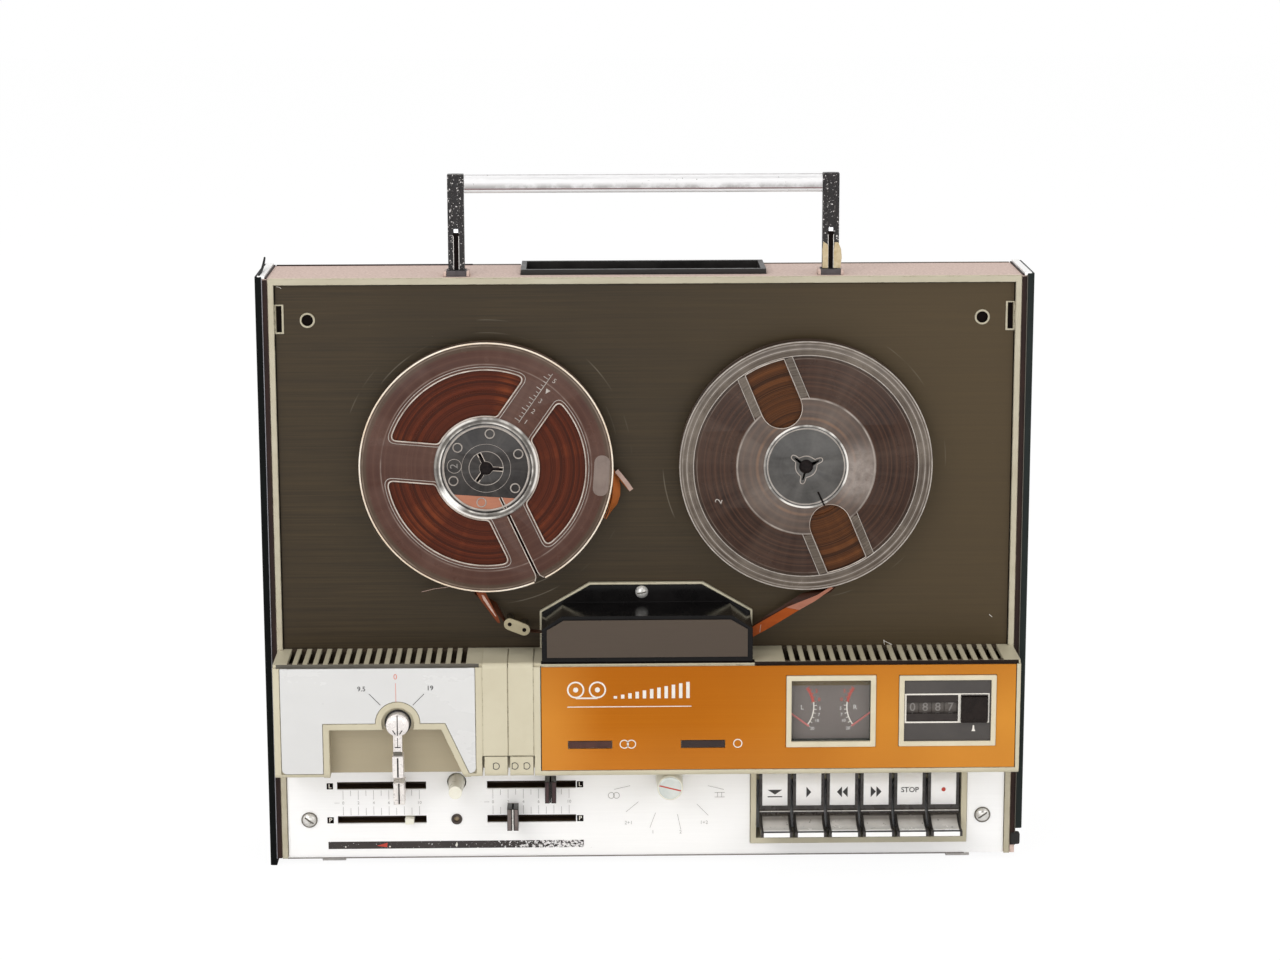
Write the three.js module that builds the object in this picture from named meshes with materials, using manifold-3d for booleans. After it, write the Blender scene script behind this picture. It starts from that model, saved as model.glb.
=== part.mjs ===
// Upright reel-to-reel tape recorder. Millimetres, X to the right, Y to the back, Z up.
// Y is zero at the face of the ivory frame and Z is zero under the feet until the last lines,
// which bring the middle of the depth to the origin.
import * as THREE from "three";
import { mergeVertices } from "three/addons/utils/BufferGeometryUtils.js";
import Module from "manifold-3d";

const wasm = await Module();
wasm.setup();

// Gaps and tools
const fit = 0.3; // gap between pieces that touch
const overrun = 3; // how far a cutting tool passes the face it cuts
const weld = 0.0005; // corners closer than this are one corner
const coarse = 16; // sides of a small round
const fine = 30; // sides of a knob or wheel
const rim = 60; // sides of a reel
const hubLobes = 3; // lobes in a reel's hub, also its windows
const fullTurn = 360; // degrees

// Case
const caseWidth = 434;
const caseTop = 352.2;
const footHeight = 4;
const footWidth = 14;
const footInset = 30;
const footFront = 8;
const footEnd = 10;
const sleeveSide = 2.8;
const sleeveTop = 1.8;
const sleeveRear = 56.6;
const sleeveSideFront = 0.8;
const trimThick = 4;
const trimRise = 1.2;
const trimRound = 1.6;
const trimRear = 57.6;
const trimBreak = 19.4; // height at which the broken right trim ends

// Rear cover
const rearDepth = 71.4;
const rearWall = 3;
const rearShoulder = 40;
const rearTopDrop = 30;
const rearSideDraw = 16;
const rearCorner = 14;
const ventPitch = 11;
const ventWidth = 4;
const ventHeight = 70;
const ventCount = 12;
const ventLow = 190;
const socketWindowWidth = 120;
const socketWindowHeight = 30;
const socketWindowLeft = -180;
const socketWindowLow = 34;
const socketPanelThick = 3;
const socketPanelLap = 8;
const socketRadius = 8;
const socketBore = 6.4;
const socketStand = 2;
const socketDeep = 8; // how far a socket reaches into the case behind its panel
const socketPitch = 22;
const socketCount = 4;
const inletWidth = 22;
const inletHeight = 13;
const inletWall = 2;
const inletPinRadius = 1.6;
const inletPinPitch = 10;

// Front frame, deck and control strip
const frameBar = 3.3;
const frameTopBar = 3.7;
const frameLip = 1.5;
const frameDepth = 4.6;
const frameSkirt = 1.6;
const frameBoss = 9;
const deckFace = 2.9;
const deckThick = 1.5;
const deckLow = 66;
const deckWindowHalf = 200;
const deckWindowLow = 74;
const deckWindowHigh = 122;
const lidPinX = 194.8;
const lidPinZ = 327.8;
const lidPinRadius = 3.5;
const catchWidth = 3.4;
const catchHeight = 15.6;
const catchEdge = 1;
const catchZ = 328.6;
const stripFace = 1.5;
const stripThick = 1.5;
const stripTop = 64.3;
const stripScrewX = 200.6;
const stripScrewZ = 27.8;

// Chassis
const chassisFace = 20;
const chassisThick = 1.5;
const chassisEdge = 6;
const chassisTrayNotch = 30;
const postRadius = 4;
const spindleBoss = 7;
const spindleBossFront = 9;

// Handle and grip tray
const topCentre = -0.8;
const legSpacing = 216;
const legWidth = 9.4;
const legThick = 6;
const legFront = 9;
const legTop = 410.8;
const legBottom = 322;
const legHead = 2.6;
const legGroove = 3;
const legGrooveDeep = 1.2;
const legGrooveTop = 377;
const gripHeight = 10.6;
const gripDrop = 0.4;
const gripRod = 3.6;
const gripBore = 4.4;
const trayWidth = 142;
const trayFront = 12.2;
const trayRear = 52;
const trayRim = 3;
const trayWall = 3;
const trayDeep = 30;
const collarSide = 2.2;
const guideLow = 326;
const webThick = 2.4;

// Reels, turntables and tape
const reelX = 92.5;
const reelZ = 243.1;
const reelRadius = 73.5;
const flangeThick = 1.4;
const reelRear = -2.2;
const packWidth = 6.35;
const packGap = 0.3;
const hubRadius = 30;
const hubBore = 4.2;
const hubSlotReach = 9.4;
const hubSlotWidth = 1.8;
const leftPackRadius = 69;
const rightPackRadius = 67.5;
const packStep = 0.4; // rise of the outer turn where the tape leaves
const packRing = 45; // radius of the line left where winding was stopped
const packRingWide = 0.6;
const packRingDeep = 0.25;
const kidneyInner = 30.3;
const kidneyOuter = 57.7;
const kidneySpoke = 23.6;
const kidneyRound = 7;
const kidneyFirst = 55; // angle of the first spoke, in degrees
const slotInner = 26;
const slotOuter = 64.4;
const slotWidth = 24.6;
const slotAngle = 112.6; // angle of the right reel's windows, in degrees
const reelSlit = 1.3;
const reelSlitAngle = -65.4; // angle of the left reel's threading slit, in degrees
const reelSlitStart = 19.5;
const tableRadius = 20;
const tableThick = 3.6;
const spindleRadius = 3;
const spindleNose = 3.8;
const spindleLobe = 7.4;
const spindleLobeWidth = 1.2;
const spindleTip = 1.2;
const driveDisc = 28;
const driveDiscFront = 24;
const driveDiscThick = 6;
const spindleEnd = 33;
const tapeThick = 0.4;

// Console
const consoleHalf = 216.5;
const consoleLow = 64.6;
const consoleTop = 132.4;
const consoleDepth = 35.6;
const consoleBack = 2.6;
const consoleWall = 2.4;
const consoleRound = 3;
const fasciaThick = 1.2;
const fasciaTop = 130.7;
const grooveDeep = 2.6;
const grilleWidth = 3;
const grilleFront = 30.5;
const grilleRear = 1.5;
const grilleEnd = 0.7;
const grilleSkin = 1.1;
const grillePitch = 5.9;
const grilleLeft = -206.8;
const grilleLeftCount = 18;
const grilleRight = 81.4;
const grilleRightCount = 22;
const speedFasciaLeft = -212.4;
const speedFasciaRight = -99.9;
const speedFasciaLow = 67.3;
const fasciaCorner = 3;
const meterFasciaLeft = -61.5;
const meterFasciaRight = 213.8;
const meterFasciaLow = 68.5;
const lampLow = 81.6;
const lampHeight = 4.3;
const lampWidth = 25.2;
const lampLeftX = -46;
const lampRightX = 19.6;
const panelLeft = -95.8;
const panelMiddle = -80.9;
const panelRight = -65.9;
const panelProud = 0.6;
const panelLow = 77.7;
const panelGroove = 0.5;
const tipTravel = 4;
const tipSide = 1;
const tipReach = 15;
const tipStem = 2;
const tipStemReach = 12;
const tipRib = 2;
const tipRibHigh = 80;

// Speed lever and its well
const leverX = -144.8;
const leverZ = 97.4;
const leverHub = 6.6;
const leverPocket = 9.4;
const leverPocketDeep = 3;
const leverArch = 12.9;
const leverShaft = 3;
const leverShaftEnd = 20;
const leverArm = 5.2;
const leverArmThick = 3.3;
const leverStand = 0.6;
const leverTip = 6.2;
const leverTipTop = 78.9;
const leverTipLow = 66.6;
const leverTipFront = 6.5;
const leverTipRear = 4;
const wellLeft = -188.2;
const wellTop = 97.2;
const wellShoulder = -117.4;
const wellFoot = -103.9;
const wellRim = 3.6;
const wellDeep = 11.6;
const wellTopDeep = 5.6;

// Meter and counter
const meterLeft = 80.6;
const meterRight = 132.4;
const meterLow = 81.7;
const meterHigh = 124.3;
const meterBar = 3;
const meterProud = 0.8;
const meterPane = 1;
const meterSide = 5.4;
const meterDepth = 16;
const meterScaleDeep = 4.4;
const needlePivotOut = 2.1;
const needlePivotZ = 104.2;
const needleLength = 19.5;
const needleWidth = 0.9;
const needleThick = 0.6;
const needleHub = 2;
const needlePin = 0.9;
const needlePinReach = 8;
const needleRest = -37; // angle below level at the zero end, in degrees
const counterLeft = 146.1;
const counterRight = 202.3;
const counterLow = 81.8;
const counterHigh = 124;
const counterBar = 2.8;
const counterPlateDeep = 1.2;
const counterPlateThick = 1.6;
const digitLeft = 150.1;
const digitRight = 180.2;
const digitLow = 96.1;
const digitHigh = 112.3;
const wheelRadius = 9;
const wheelBore = 1.9;
const wheelGroove = 0.5;
const wheelCount = 4;
const earThick = 1.2;
const resetLeft = 181.9;
const resetRight = 197.2;
const resetLow = 95.8;
const resetHigh = 111.1;
const resetWall = 1.2;
const resetReach = 9;

// Controls on the strip
const faderLength = 52.8;
const faderSlot = 4.6;
const faderUpperZ = 48.5;
const faderLowerZ = 27.4;
const faderLeftX = -183.8;
const faderRightX = -94.8;
const stemWidth = 5.2;
const stemHeight = 3.4;
const stemFront = -3;
const channelWall = 1.6;
const channelDepth = 10.4;
const channelFloor = 1.5;
const capFront = -15;
const capRear = -3;
const capWidth = 6.6;
const capHeight = 13.3;
const upperLeftX = -146.1;
const lowerLeftX = -140.9;
const upperRightX = -56.9;
const lowerRightX = -79.3;
const lowerRightLift = 4.4;
const boardFace = 14;
const boardThick = 1.6;
const boardLeft = -195;
const boardRight = 40;
const boardLow = 14;
const boardHigh = 60;
const buttonX = -112.8;
const buttonZ = 50.4;
const buttonRadius = 5.4;
const buttonTip = 3.9;
const buttonFront = -20;
const buttonNeck = 3;
const buttonRear = 8;
const guideWall = 2;
const jackX = -113;
const jackZ = 27.5;
const jackRing = 3.3;
const jackNeck = 2.5;
const jackBore = 1.75;
const jackBody = 4.6;
const jackFace = 1.1;
const jackRear = 13.7;
const knobX = 13.5;
const knobZ = 52.6;
const knobRadius = 7.6;
const knobFront = -21;
const knobRear = 0.9;
const knobDraft = 0.5;
const knobEdge = 0.6;
const knobShaft = 3;
const knobShaftEnd = 13;
const switchRadius = 9;

// Piano keys and their bezel
const bezelLeft = 62;
const bezelRight = 191.1;
const bezelLow = 11.2;
const bezelHigh = 60.4;
const bezelBar = 3.4;
const keyCount = 6;
const keyPitch = 20.14;
const keyWidth = 18.6;
const keyFirst = 76.6;
const keyPivotY = 9.5;
const keyPivotZ = 50;
const keyRod = 2;
const keyHub = 4.6;
const keyBoreGap = 0.3;
const keyTop = 56.4;
const keyFace = 2.4;
const keyRidge = 30.6;
const keyReach = 18.6;
const keyLipTop = 24;
const keyLipLow = 20.8;
const keySwoop = 4.4;
const keyThick = 4;

// Head cover, heads and transport
const coverHalf = 61;
const coverLow = 132.7;
const coverFront = -34;
const coverLedge = 160;
const coverCorner = 11.8;
const coverCornerDrop = 8;
const coverWall = 2;
const maskTop = 170.4;
const maskShoulder = 154.2;
const maskFlat = 32.7;
const maskThick = 2.6;
const maskRim = 1.2;
const tapeSlotLow = 139;
const tapeSlotHigh = 151;
const tapeSlotFront = -13;
const insetThick = 0.8;
const insetMargin = 3;
const insetTopMargin = 2.2;
const tapeLine = 143;
const headLow = 135.4;
const headFront = -11.4;
const headPlate = 1.6;
const headPlateLeft = -46;
const headPlateRight = 8;
const eraseLeft = -40;
const eraseWidth = 11;
const playLeft = -16;
const playWidth = 15;
const capstanX = 30;
const capstanRadius = 2.5;
const capstanFront = -12;
const flywheelRadius = 42;
const flywheelFront = 25;
const flywheelThick = 11;
const flywheelWeb = 4;
const flywheelRim = 8;
const flywheelHub = 9;
const bearingRadius = 6;
const rollerRadius = 6;
const rollerLift = 2.3;
const rollerPin = 1.5;
const rollerPinEnd = 0.8;
const armPivotX = 46;
const armWidth = 6;
const armThick = 1.8;
const armFace = -1.4;
const armPin = 2;
const armPinEnd = 26;
const guideX = -79.8;
const guideZ = 151.3;
const guideSpacing = 9.1;
const guideTilt = -22; // degrees
const guidePost = 2;
const guidePlateFront = -16.4;
const guidePlateThick = 1.6;
const guidePlateRadius = 3.4;

// Motor, belt and transformer
const motorX = -45;
const motorRadius = 30;
const motorFront = 42;
const motorLength = 48;
const motorPost = 3;
const motorPostCircle = 26;
const motorShaft = 2;
const pulleyRadius = 8;
const pulleySmall = 4;
const pulleyFront = 25.5;
const pulleyStep = 5;
const pulleyLength = 11;
const beltWide = 4;
const beltThick = 1;
const transformerX = 150;
const transformerZ = 120;
const transformerWidth = 62;
const transformerHeight = 52;
const transformerDepth = 44;
const transformerCoil = 40;
const transformerCoilOut = 7;
const transformerFoot = 8;
const transformerFootThick = 2;

// Sizes that follow from the named ones
const halfFrame = caseWidth / 2;
const sleeveInner = halfFrame + fit;
const sleeveOuter = sleeveInner + sleeveSide;
const trimInner = sleeveOuter + fit;
const trimOuter = trimInner + trimThick;
const innerHalf = halfFrame - frameBar;
const innerTop = caseTop - frameTopBar;
const plateHalf = innerHalf - fit;
const skirtTop = caseTop - sleeveTop - fit;
const floorTop = footHeight + sleeveTop;
const rearFront = sleeveRear + fit;
const rearEnd = rearFront + rearDepth;
const deckBack = deckFace + deckThick;
const stripBack = stripFace + stripThick;
const consoleFace = -consoleDepth;
const fasciaBack = consoleFace + fasciaThick;
const wallFace = fasciaBack + fit;
const wallBack = wallFace + consoleWall;
const packRear = reelRear - flangeThick - packGap;
const packFront = packRear - packWidth;
const flangeFront = packFront - packGap - flangeThick;
const tapeMiddle = (packRear + packFront) / 2;
const capstanZ = tapeLine - tapeThick / 2 - fit - capstanRadius;
const rollerRestZ = tapeLine + tapeThick / 2 + rollerLift + rollerRadius;
const degree = Math.PI / 180;

// Shaping helpers
function solidOf(geometry) {
  const bare = geometry.index ? geometry.toNonIndexed() : geometry.clone();
  bare.deleteAttribute("normal");
  bare.deleteAttribute("uv");
  const merged = mergeVertices(bare, weld);
  const vertProperties = merged.attributes.position.array;
  const triVerts = new Uint32Array(merged.index.array);
  const mesh = new wasm.Mesh({ numProp: 3, vertProperties, triVerts });
  return new wasm.Manifold(mesh);
}

function joined(...pieces) {
  return pieces.reduce((whole, piece) => whole.add(piece));
}

function cut(body, ...tools) {
  return tools.reduce((whole, tool) => whole.subtract(tool), body);
}

function block(x0, x1, y0, y1, z0, z1) {
  const geometry = new THREE.BoxGeometry(x1 - x0, y1 - y0, z1 - z0);
  geometry.translate((x0 + x1) / 2, (y0 + y1) / 2, (z0 + z1) / 2);
  return solidOf(geometry);
}

// A bar along Y between two depths, with an optional second radius at its front end.
function barY(x, z, radius, y0, y1, sides = coarse, frontRadius = radius) {
  const geometry = new THREE.CylinderGeometry(radius, frontRadius, y1 - y0, sides);
  geometry.translate(x, (y0 + y1) / 2, z);
  return solidOf(geometry);
}

function barX(y, z, radius, x0, x1, sides = coarse) {
  const geometry = new THREE.CylinderGeometry(radius, radius, x1 - x0, sides);
  geometry.rotateZ(Math.PI / 2);
  geometry.translate((x0 + x1) / 2, y, z);
  return solidOf(geometry);
}

// A profile of [radius, depth] points turned about an axis along Y.
function turnedY(profile, x, z, sides = fine) {
  const points = profile.map(([radius, y]) => new THREE.Vector2(radius, y));
  const geometry = new THREE.LatheGeometry(points, sides);
  geometry.translate(x, 0, z);
  return solidOf(geometry);
}

function outlineOf(points) {
  return new THREE.Shape(points.map(([a, b]) => new THREE.Vector2(a, b)));
}

function roundedBox(a0, a1, b0, b1, radius) {
  const shape = new THREE.Shape();
  shape.moveTo(a0 + radius, b0);
  shape.lineTo(a1 - radius, b0);
  shape.absarc(a1 - radius, b0 + radius, radius, -Math.PI / 2, 0, false);
  shape.lineTo(a1, b1 - radius);
  shape.absarc(a1 - radius, b1 - radius, radius, 0, Math.PI / 2, false);
  shape.lineTo(a0 + radius, b1);
  shape.absarc(a0 + radius, b1 - radius, radius, Math.PI / 2, Math.PI, false);
  shape.lineTo(a0, b0 + radius);
  shape.absarc(a0 + radius, b0 + radius, radius, Math.PI, Math.PI * 1.5, false);
  return shape;
}

// A shape drawn in X and Z, pushed along Y from y0 back to y1.
function facePlate(shape, y0, y1, curveSegments = 5) {
  const geometry = new THREE.ExtrudeGeometry(shape, {
    depth: y1 - y0,
    bevelEnabled: false,
    curveSegments,
  });
  geometry.rotateX(Math.PI / 2);
  geometry.translate(0, y1, 0);
  return solidOf(geometry);
}

// A shape drawn in Y and Z, pushed along X from x0 to x1.
function sidePlate(shape, x0, x1, curveSegments = 5) {
  const geometry = new THREE.ExtrudeGeometry(shape, {
    depth: x1 - x0,
    bevelEnabled: false,
    curveSegments,
  });
  const ahead = new THREE.Vector3(0, 1, 0);
  const above = new THREE.Vector3(0, 0, 1);
  const aside = new THREE.Vector3(1, 0, 0);
  geometry.applyMatrix4(new THREE.Matrix4().makeBasis(ahead, above, aside));
  geometry.translate(x0, 0, 0);
  return solidOf(geometry);
}

// A shape drawn in X and Y, pushed along Z from z0 up to z1.
function planPlate(shape, z0, z1, curveSegments = 5) {
  const geometry = new THREE.ExtrudeGeometry(shape, {
    depth: z1 - z0,
    bevelEnabled: false,
    curveSegments,
  });
  geometry.translate(0, 0, z0);
  return solidOf(geometry);
}

// A closed skin over rings of points that all have the same count.
function loft(rings) {
  const count = rings[0].length;
  const position = rings.flat(2);
  const index = [];
  for (let ring = 0; ring + 1 < rings.length; ring += 1) {
    for (let i = 0; i < count; i += 1) {
      const next = (i + 1) % count;
      const a = ring * count + i;
      const b = ring * count + next;
      const c = a + count;
      const d = b + count;
      index.push(a, c, b, b, c, d);
    }
  }
  const last = (rings.length - 1) * count;
  for (let i = 1; i + 1 < count; i += 1) {
    index.push(0, i, i + 1);
    index.push(last, last + i + 1, last + i);
  }
  const geometry = new THREE.BufferGeometry();
  geometry.setAttribute("position", new THREE.Float32BufferAttribute(position, 3));
  geometry.setIndex(index);
  const made = solidOf(geometry);
  return made;
}

// A rounded rectangle of points at one depth, running so that a loft along +Y faces out.
function ringAt(y, half, low, high, radius) {
  const shape = roundedBox(-half, half, low, high, radius);
  const points = shape.extractPoints(4).shape;
  return points.map((point) => [point.x, y, point.y]);
}

function turned(geometrySolid, angle, x, z) {
  const mesh = geometryOf(geometrySolid);
  mesh.rotateY(-angle * degree);
  mesh.translate(x, 0, z);
  return solidOf(mesh);
}

function geometryOf(made) {
  const mesh = made.getMesh();
  const corners = new Float32Array(mesh.numVert * 3);
  for (let i = 0; i < mesh.numVert; i += 1) {
    const from = i * mesh.numProp;
    corners.set(mesh.vertProperties.subarray(from, from + 3), i * 3);
  }
  const geometry = new THREE.BufferGeometry();
  geometry.setAttribute("position", new THREE.BufferAttribute(corners, 3));
  geometry.setIndex(new THREE.BufferAttribute(new Uint32Array(mesh.triVerts), 1));
  return geometry;
}

const finishes = {
  ivory: [0xcfc5aa, 0.5, 0],
  mauve: [0xb89a90, 0.75, 0],
  black: [0x2b2826, 0.45, 0],
  glossBlack: [0x171514, 0.15, 0],
  olive: [0x564c3e, 0.4, 0.6],
  satin: [0xe4e2e2, 0.4, 0.2],
  orange: [0xc9782c, 0.35, 0.4],
  chrome: [0xd8d8d8, 0.12, 1],
  steel: [0x9a9c9e, 0.4, 0.9],
  rubber: [0x1d1c1b, 0.9, 0],
  clear: [0xb7aea2, 0.2, 0],
  tape: [0x5a3020, 0.5, 0],
  white: [0xecebe6, 0.35, 0],
  red: [0xc23a2c, 0.4, 0],
  copper: [0xa5683c, 0.4, 0.7],
  board: [0x7a5a30, 0.7, 0],
};

const recorder = new THREE.Group();

function place(parent, name, made, finish, x = 0, y = 0, z = 0) {
  const [color, roughness, metalness] = finishes[finish];
  const material = new THREE.MeshStandardMaterial({ color, roughness, metalness });
  const mesh = new THREE.Mesh(geometryOf(made), material);
  mesh.name = name;
  mesh.position.set(x, y, z);
  parent.add(mesh);
  return mesh;
}

// Wrapped sleeve: top, floor and two sides, open to the front and back
const legX = [topCentre - legSpacing / 2, topCentre + legSpacing / 2];
const collarHalf = legWidth / 2 + fit + collarSide;
const collarFront = legFront - fit - collarSide;
const collarRear = legFront + legThick + fit + collarSide;
const sleeveRoofFront = frameLip + fit;
const sleeveFloorFront = stripBack + fit;
let sleeve = block(-sleeveOuter, sleeveOuter, sleeveSideFront, sleeveRear, footHeight, caseTop);
const sleeveHollow = block(
  -sleeveInner, sleeveInner,
  -overrun, sleeveRear + overrun,
  floorTop, caseTop - sleeveTop,
);
const sleeveRoofCut = block(
  -sleeveInner, sleeveInner,
  -overrun, sleeveRoofFront,
  caseTop - sleeveTop - overrun, caseTop + overrun,
);
const sleeveFloorCut = block(
  -sleeveInner, sleeveInner,
  -overrun, sleeveFloorFront,
  footHeight - overrun, floorTop + overrun,
);
const trayHole = block(
  topCentre - trayWidth / 2 - fit, topCentre + trayWidth / 2 + fit,
  trayFront - fit, trayRear + fit,
  caseTop - sleeveTop - overrun, caseTop + overrun,
);
sleeve = cut(sleeve, sleeveHollow, sleeveRoofCut, sleeveFloorCut, trayHole);
for (const x of legX) {
  const collarHole = block(
    x - collarHalf - fit, x + collarHalf + fit,
    collarFront - fit, collarRear + fit,
    caseTop - sleeveTop - overrun, caseTop + overrun,
  );
  sleeve = sleeve.subtract(collarHole);
}
place(recorder, "cabinet_sleeve", sleeve, "mauve");

// Ivory frame: a lip on three sides, a skirt inside the sleeve and bosses for the chassis
const frameBack = chassisFace - fit;
const bottomFront = stripBack + fit;
const frameBars = [-1, 1].map((side) => {
  const inner = side * innerHalf;
  const outer = side * halfFrame;
  const low = Math.min(inner, outer);
  const high = Math.max(inner, outer);
  return joined(
    block(low, high, 0, frameLip, footHeight, caseTop),
    block(low, high, frameLip, frameBack, floorTop + fit, skirtTop),
  );
});
const frameTop = joined(
  block(-halfFrame, halfFrame, 0, frameLip, innerTop, caseTop),
  block(-halfFrame, halfFrame, 0, frameDepth, innerTop, skirtTop),
);
const frameBottom = block(
  -halfFrame, halfFrame,
  bottomFront, frameBack,
  floorTop + fit, floorTop + fit + frameSkirt,
);
const bossFront = deckBack + fit;
const bossInner = innerHalf - frameBoss;
const bossLowTop = floorTop + fit + frameSkirt + frameBoss;
const frameBosses = [-1, 1].map((side) => {
  const low = Math.min(side * bossInner, side * halfFrame);
  const high = Math.max(side * bossInner, side * halfFrame);
  return joined(
    block(low, high, bossFront, frameBack, innerTop - frameBoss, skirtTop),
    block(low, high, bossFront, frameBack, floorTop + fit, bossLowTop),
  );
});
place(recorder, "front_frame", joined(...frameBars, frameTop, frameBottom, ...frameBosses), "ivory");

// Black side trims, the right one broken off short at its foot
function sideTrim(side, low) {
  const shape = new THREE.Shape();
  shape.moveTo(trimInner, trimRear);
  shape.lineTo(trimInner, 0);
  shape.lineTo(trimOuter - trimRound, 0);
  shape.absarc(trimOuter - trimRound, trimRound, trimRound, -Math.PI / 2, 0, false);
  shape.lineTo(trimOuter, trimRear);
  const made = planPlate(shape, low, caseTop + trimRise);
  return side > 0 ? made : turnedHalf(made);
}

function turnedHalf(made) {
  const geometry = geometryOf(made);
  geometry.scale(-1, 1, 1);
  const flipped = geometry.index.array;
  for (let i = 0; i < flipped.length; i += 3) {
    const kept = flipped[i + 1];
    flipped[i + 1] = flipped[i + 2];
    flipped[i + 2] = kept;
  }
  return solidOf(geometry);
}

place(recorder, "side_trim_left", sideTrim(-1, 0), "black");
place(recorder, "side_trim_right", sideTrim(1, trimBreak), "black");

// Tapered rear cover with vents and a window for the sockets
function rearRings(inset) {
  const half = sleeveOuter - inset;
  const low = footHeight + inset;
  const top = caseTop - inset;
  const radius = rearCorner - inset;
  const front = inset > 0 ? rearFront - overrun : rearFront;
  return [
    ringAt(front, half, low, top, radius),
    ringAt(rearFront + rearShoulder, half - rearSideDraw / 2, low, top - rearTopDrop / 2, radius),
    ringAt(rearEnd - inset, half - rearSideDraw, low, top - rearTopDrop, radius),
  ];
}
let rearCover = cut(loft(rearRings(0)), loft(rearRings(rearWall)));
for (let i = 0; i < ventCount; i += 1) {
  const middle = (i - (ventCount - 1) / 2) * ventPitch;
  const vent = block(
    middle - ventWidth / 2, middle + ventWidth / 2,
    rearEnd - rearWall - overrun, rearEnd + overrun,
    ventLow, ventLow + ventHeight,
  );
  rearCover = rearCover.subtract(vent);
}
const socketWindow = block(
  socketWindowLeft, socketWindowLeft + socketWindowWidth,
  rearEnd - rearWall - overrun, rearEnd + overrun,
  socketWindowLow, socketWindowLow + socketWindowHeight,
);
rearCover = rearCover.subtract(socketWindow);
place(recorder, "rear_cover", rearCover, "ivory");

// Socket panel against the inside of the rear wall: four round sockets and the mains inlet
const panelRear = rearEnd - rearWall - fit;
const panelFront = panelRear - socketPanelThick;
const socketZ = socketWindowLow + socketWindowHeight / 2;
let socketPanel = block(
  socketWindowLeft - socketPanelLap, socketWindowLeft + socketWindowWidth + socketPanelLap,
  panelFront, panelRear,
  socketWindowLow - socketPanelLap, socketWindowLow + socketWindowHeight + socketPanelLap,
);
const wellFloor = panelFront - socketDeep + socketStand;
for (let i = 0; i < socketCount; i += 1) {
  const x = socketWindowLeft + socketPitch * (i + 0.5);
  const shell = barY(x, socketZ, socketRadius, panelFront - socketDeep, panelRear + socketStand);
  const well = barY(x, socketZ, socketBore, wellFloor, panelRear + overrun);
  socketPanel = cut(joined(socketPanel, shell), well);
}
const inletX = socketWindowLeft + socketWindowWidth - inletWidth * 0.7;
const inletShell = block(
  inletX - inletWidth / 2, inletX + inletWidth / 2,
  panelFront - socketDeep, panelRear + socketStand,
  socketZ - inletHeight / 2, socketZ + inletHeight / 2,
);
const inletWell = block(
  inletX - inletWidth / 2 + inletWall, inletX + inletWidth / 2 - inletWall,
  wellFloor, panelRear + overrun,
  socketZ - inletHeight / 2 + inletWall, socketZ + inletHeight / 2 - inletWall,
);
const inletPins = [-1, 1].map((side) =>
  barY(inletX + (side * inletPinPitch) / 2, socketZ, inletPinRadius, wellFloor - fit, panelRear),
);
socketPanel = joined(cut(joined(socketPanel, inletShell), inletWell), ...inletPins);
place(recorder, "socket_panel", socketPanel, "black");

// Rubber runners under the floor
function foot(side) {
  const middle = side * (halfFrame - footInset);
  return block(
    middle - footWidth / 2, middle + footWidth / 2,
    footFront, rearEnd - footEnd,
    0, footHeight - fit,
  );
}
place(recorder, "foot_left", foot(-1), "rubber");
place(recorder, "foot_right", foot(1), "rubber");

// Grip tray: pocket, collars for the legs and the guides that join them
const trayLeft = topCentre - trayWidth / 2;
const trayRight = topCentre + trayWidth / 2;
const trayTop = caseTop + trayRim;
const pocketLow = trayTop - trayDeep;
const roofUnder = caseTop - sleeveTop - fit;
const webRear = trayFront + webThick;
let tray = joined(
  block(trayLeft, trayRight, trayFront, trayRear, pocketLow - trayWall, trayTop),
  block(legX[0], legX[1], trayFront, webRear, guideLow, roofUnder),
);
for (const x of legX) {
  tray = joined(
    tray,
    block(x - collarHalf, x + collarHalf, collarFront, collarRear, guideLow, trayTop),
  );
}
const trayPocket = block(
  trayLeft + trayWall, trayRight - trayWall,
  trayFront + trayWall, trayRear - trayWall,
  pocketLow, trayTop + overrun,
);
tray = tray.subtract(trayPocket);
for (const x of legX) {
  const legHole = block(
    x - legWidth / 2 - fit, x + legWidth / 2 + fit,
    legFront - fit, legFront + legThick + fit,
    guideLow - overrun, trayTop + overrun,
  );
  tray = tray.subtract(legHole);
}
place(recorder, "grip_tray", tray, "black");

// Handle: two grooved legs on one rod, and the bright grip around the rod
const handle = new THREE.Group();
recorder.add(handle);
const gripZ = legTop - gripDrop - gripHeight / 2;
const legMiddle = legFront + legThick / 2;
let handleFrame = barX(legMiddle, gripZ, gripRod / 2, legX[0], legX[1], 12);
for (const x of legX) {
  const leg = roundedBox(x - legWidth / 2, x + legWidth / 2, legBottom, legTop, legHead);
  const groove = block(
    x - legGroove / 2, x + legGroove / 2,
    legFront - overrun, legFront + legGrooveDeep,
    legBottom - overrun, legGrooveTop,
  );
  const window = block(
    x - legGroove / 2, x + legGroove / 2,
    legFront - overrun, legFront + legThick + overrun,
    legGrooveTop - legGroove, legGrooveTop,
  );
  const plate = facePlate(leg, legFront, legFront + legThick, 3);
  handleFrame = joined(handleFrame, cut(plate, groove, window));
}
place(handle, "handle_frame", handleFrame, "black");
const gripShape = roundedBox(
  legFront, legFront + legThick,
  gripZ - gripHeight / 2, gripZ + gripHeight / 2,
  legThick * 0.45,
);
const gripEnd = legWidth / 2 + fit;
const gripTube = cut(
  sidePlate(gripShape, legX[0] + gripEnd, legX[1] - gripEnd, 4),
  barX(legMiddle, gripZ, gripBore / 2, legX[0], legX[1], 12),
);
place(handle, "handle_grip", gripTube, "chrome");

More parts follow.
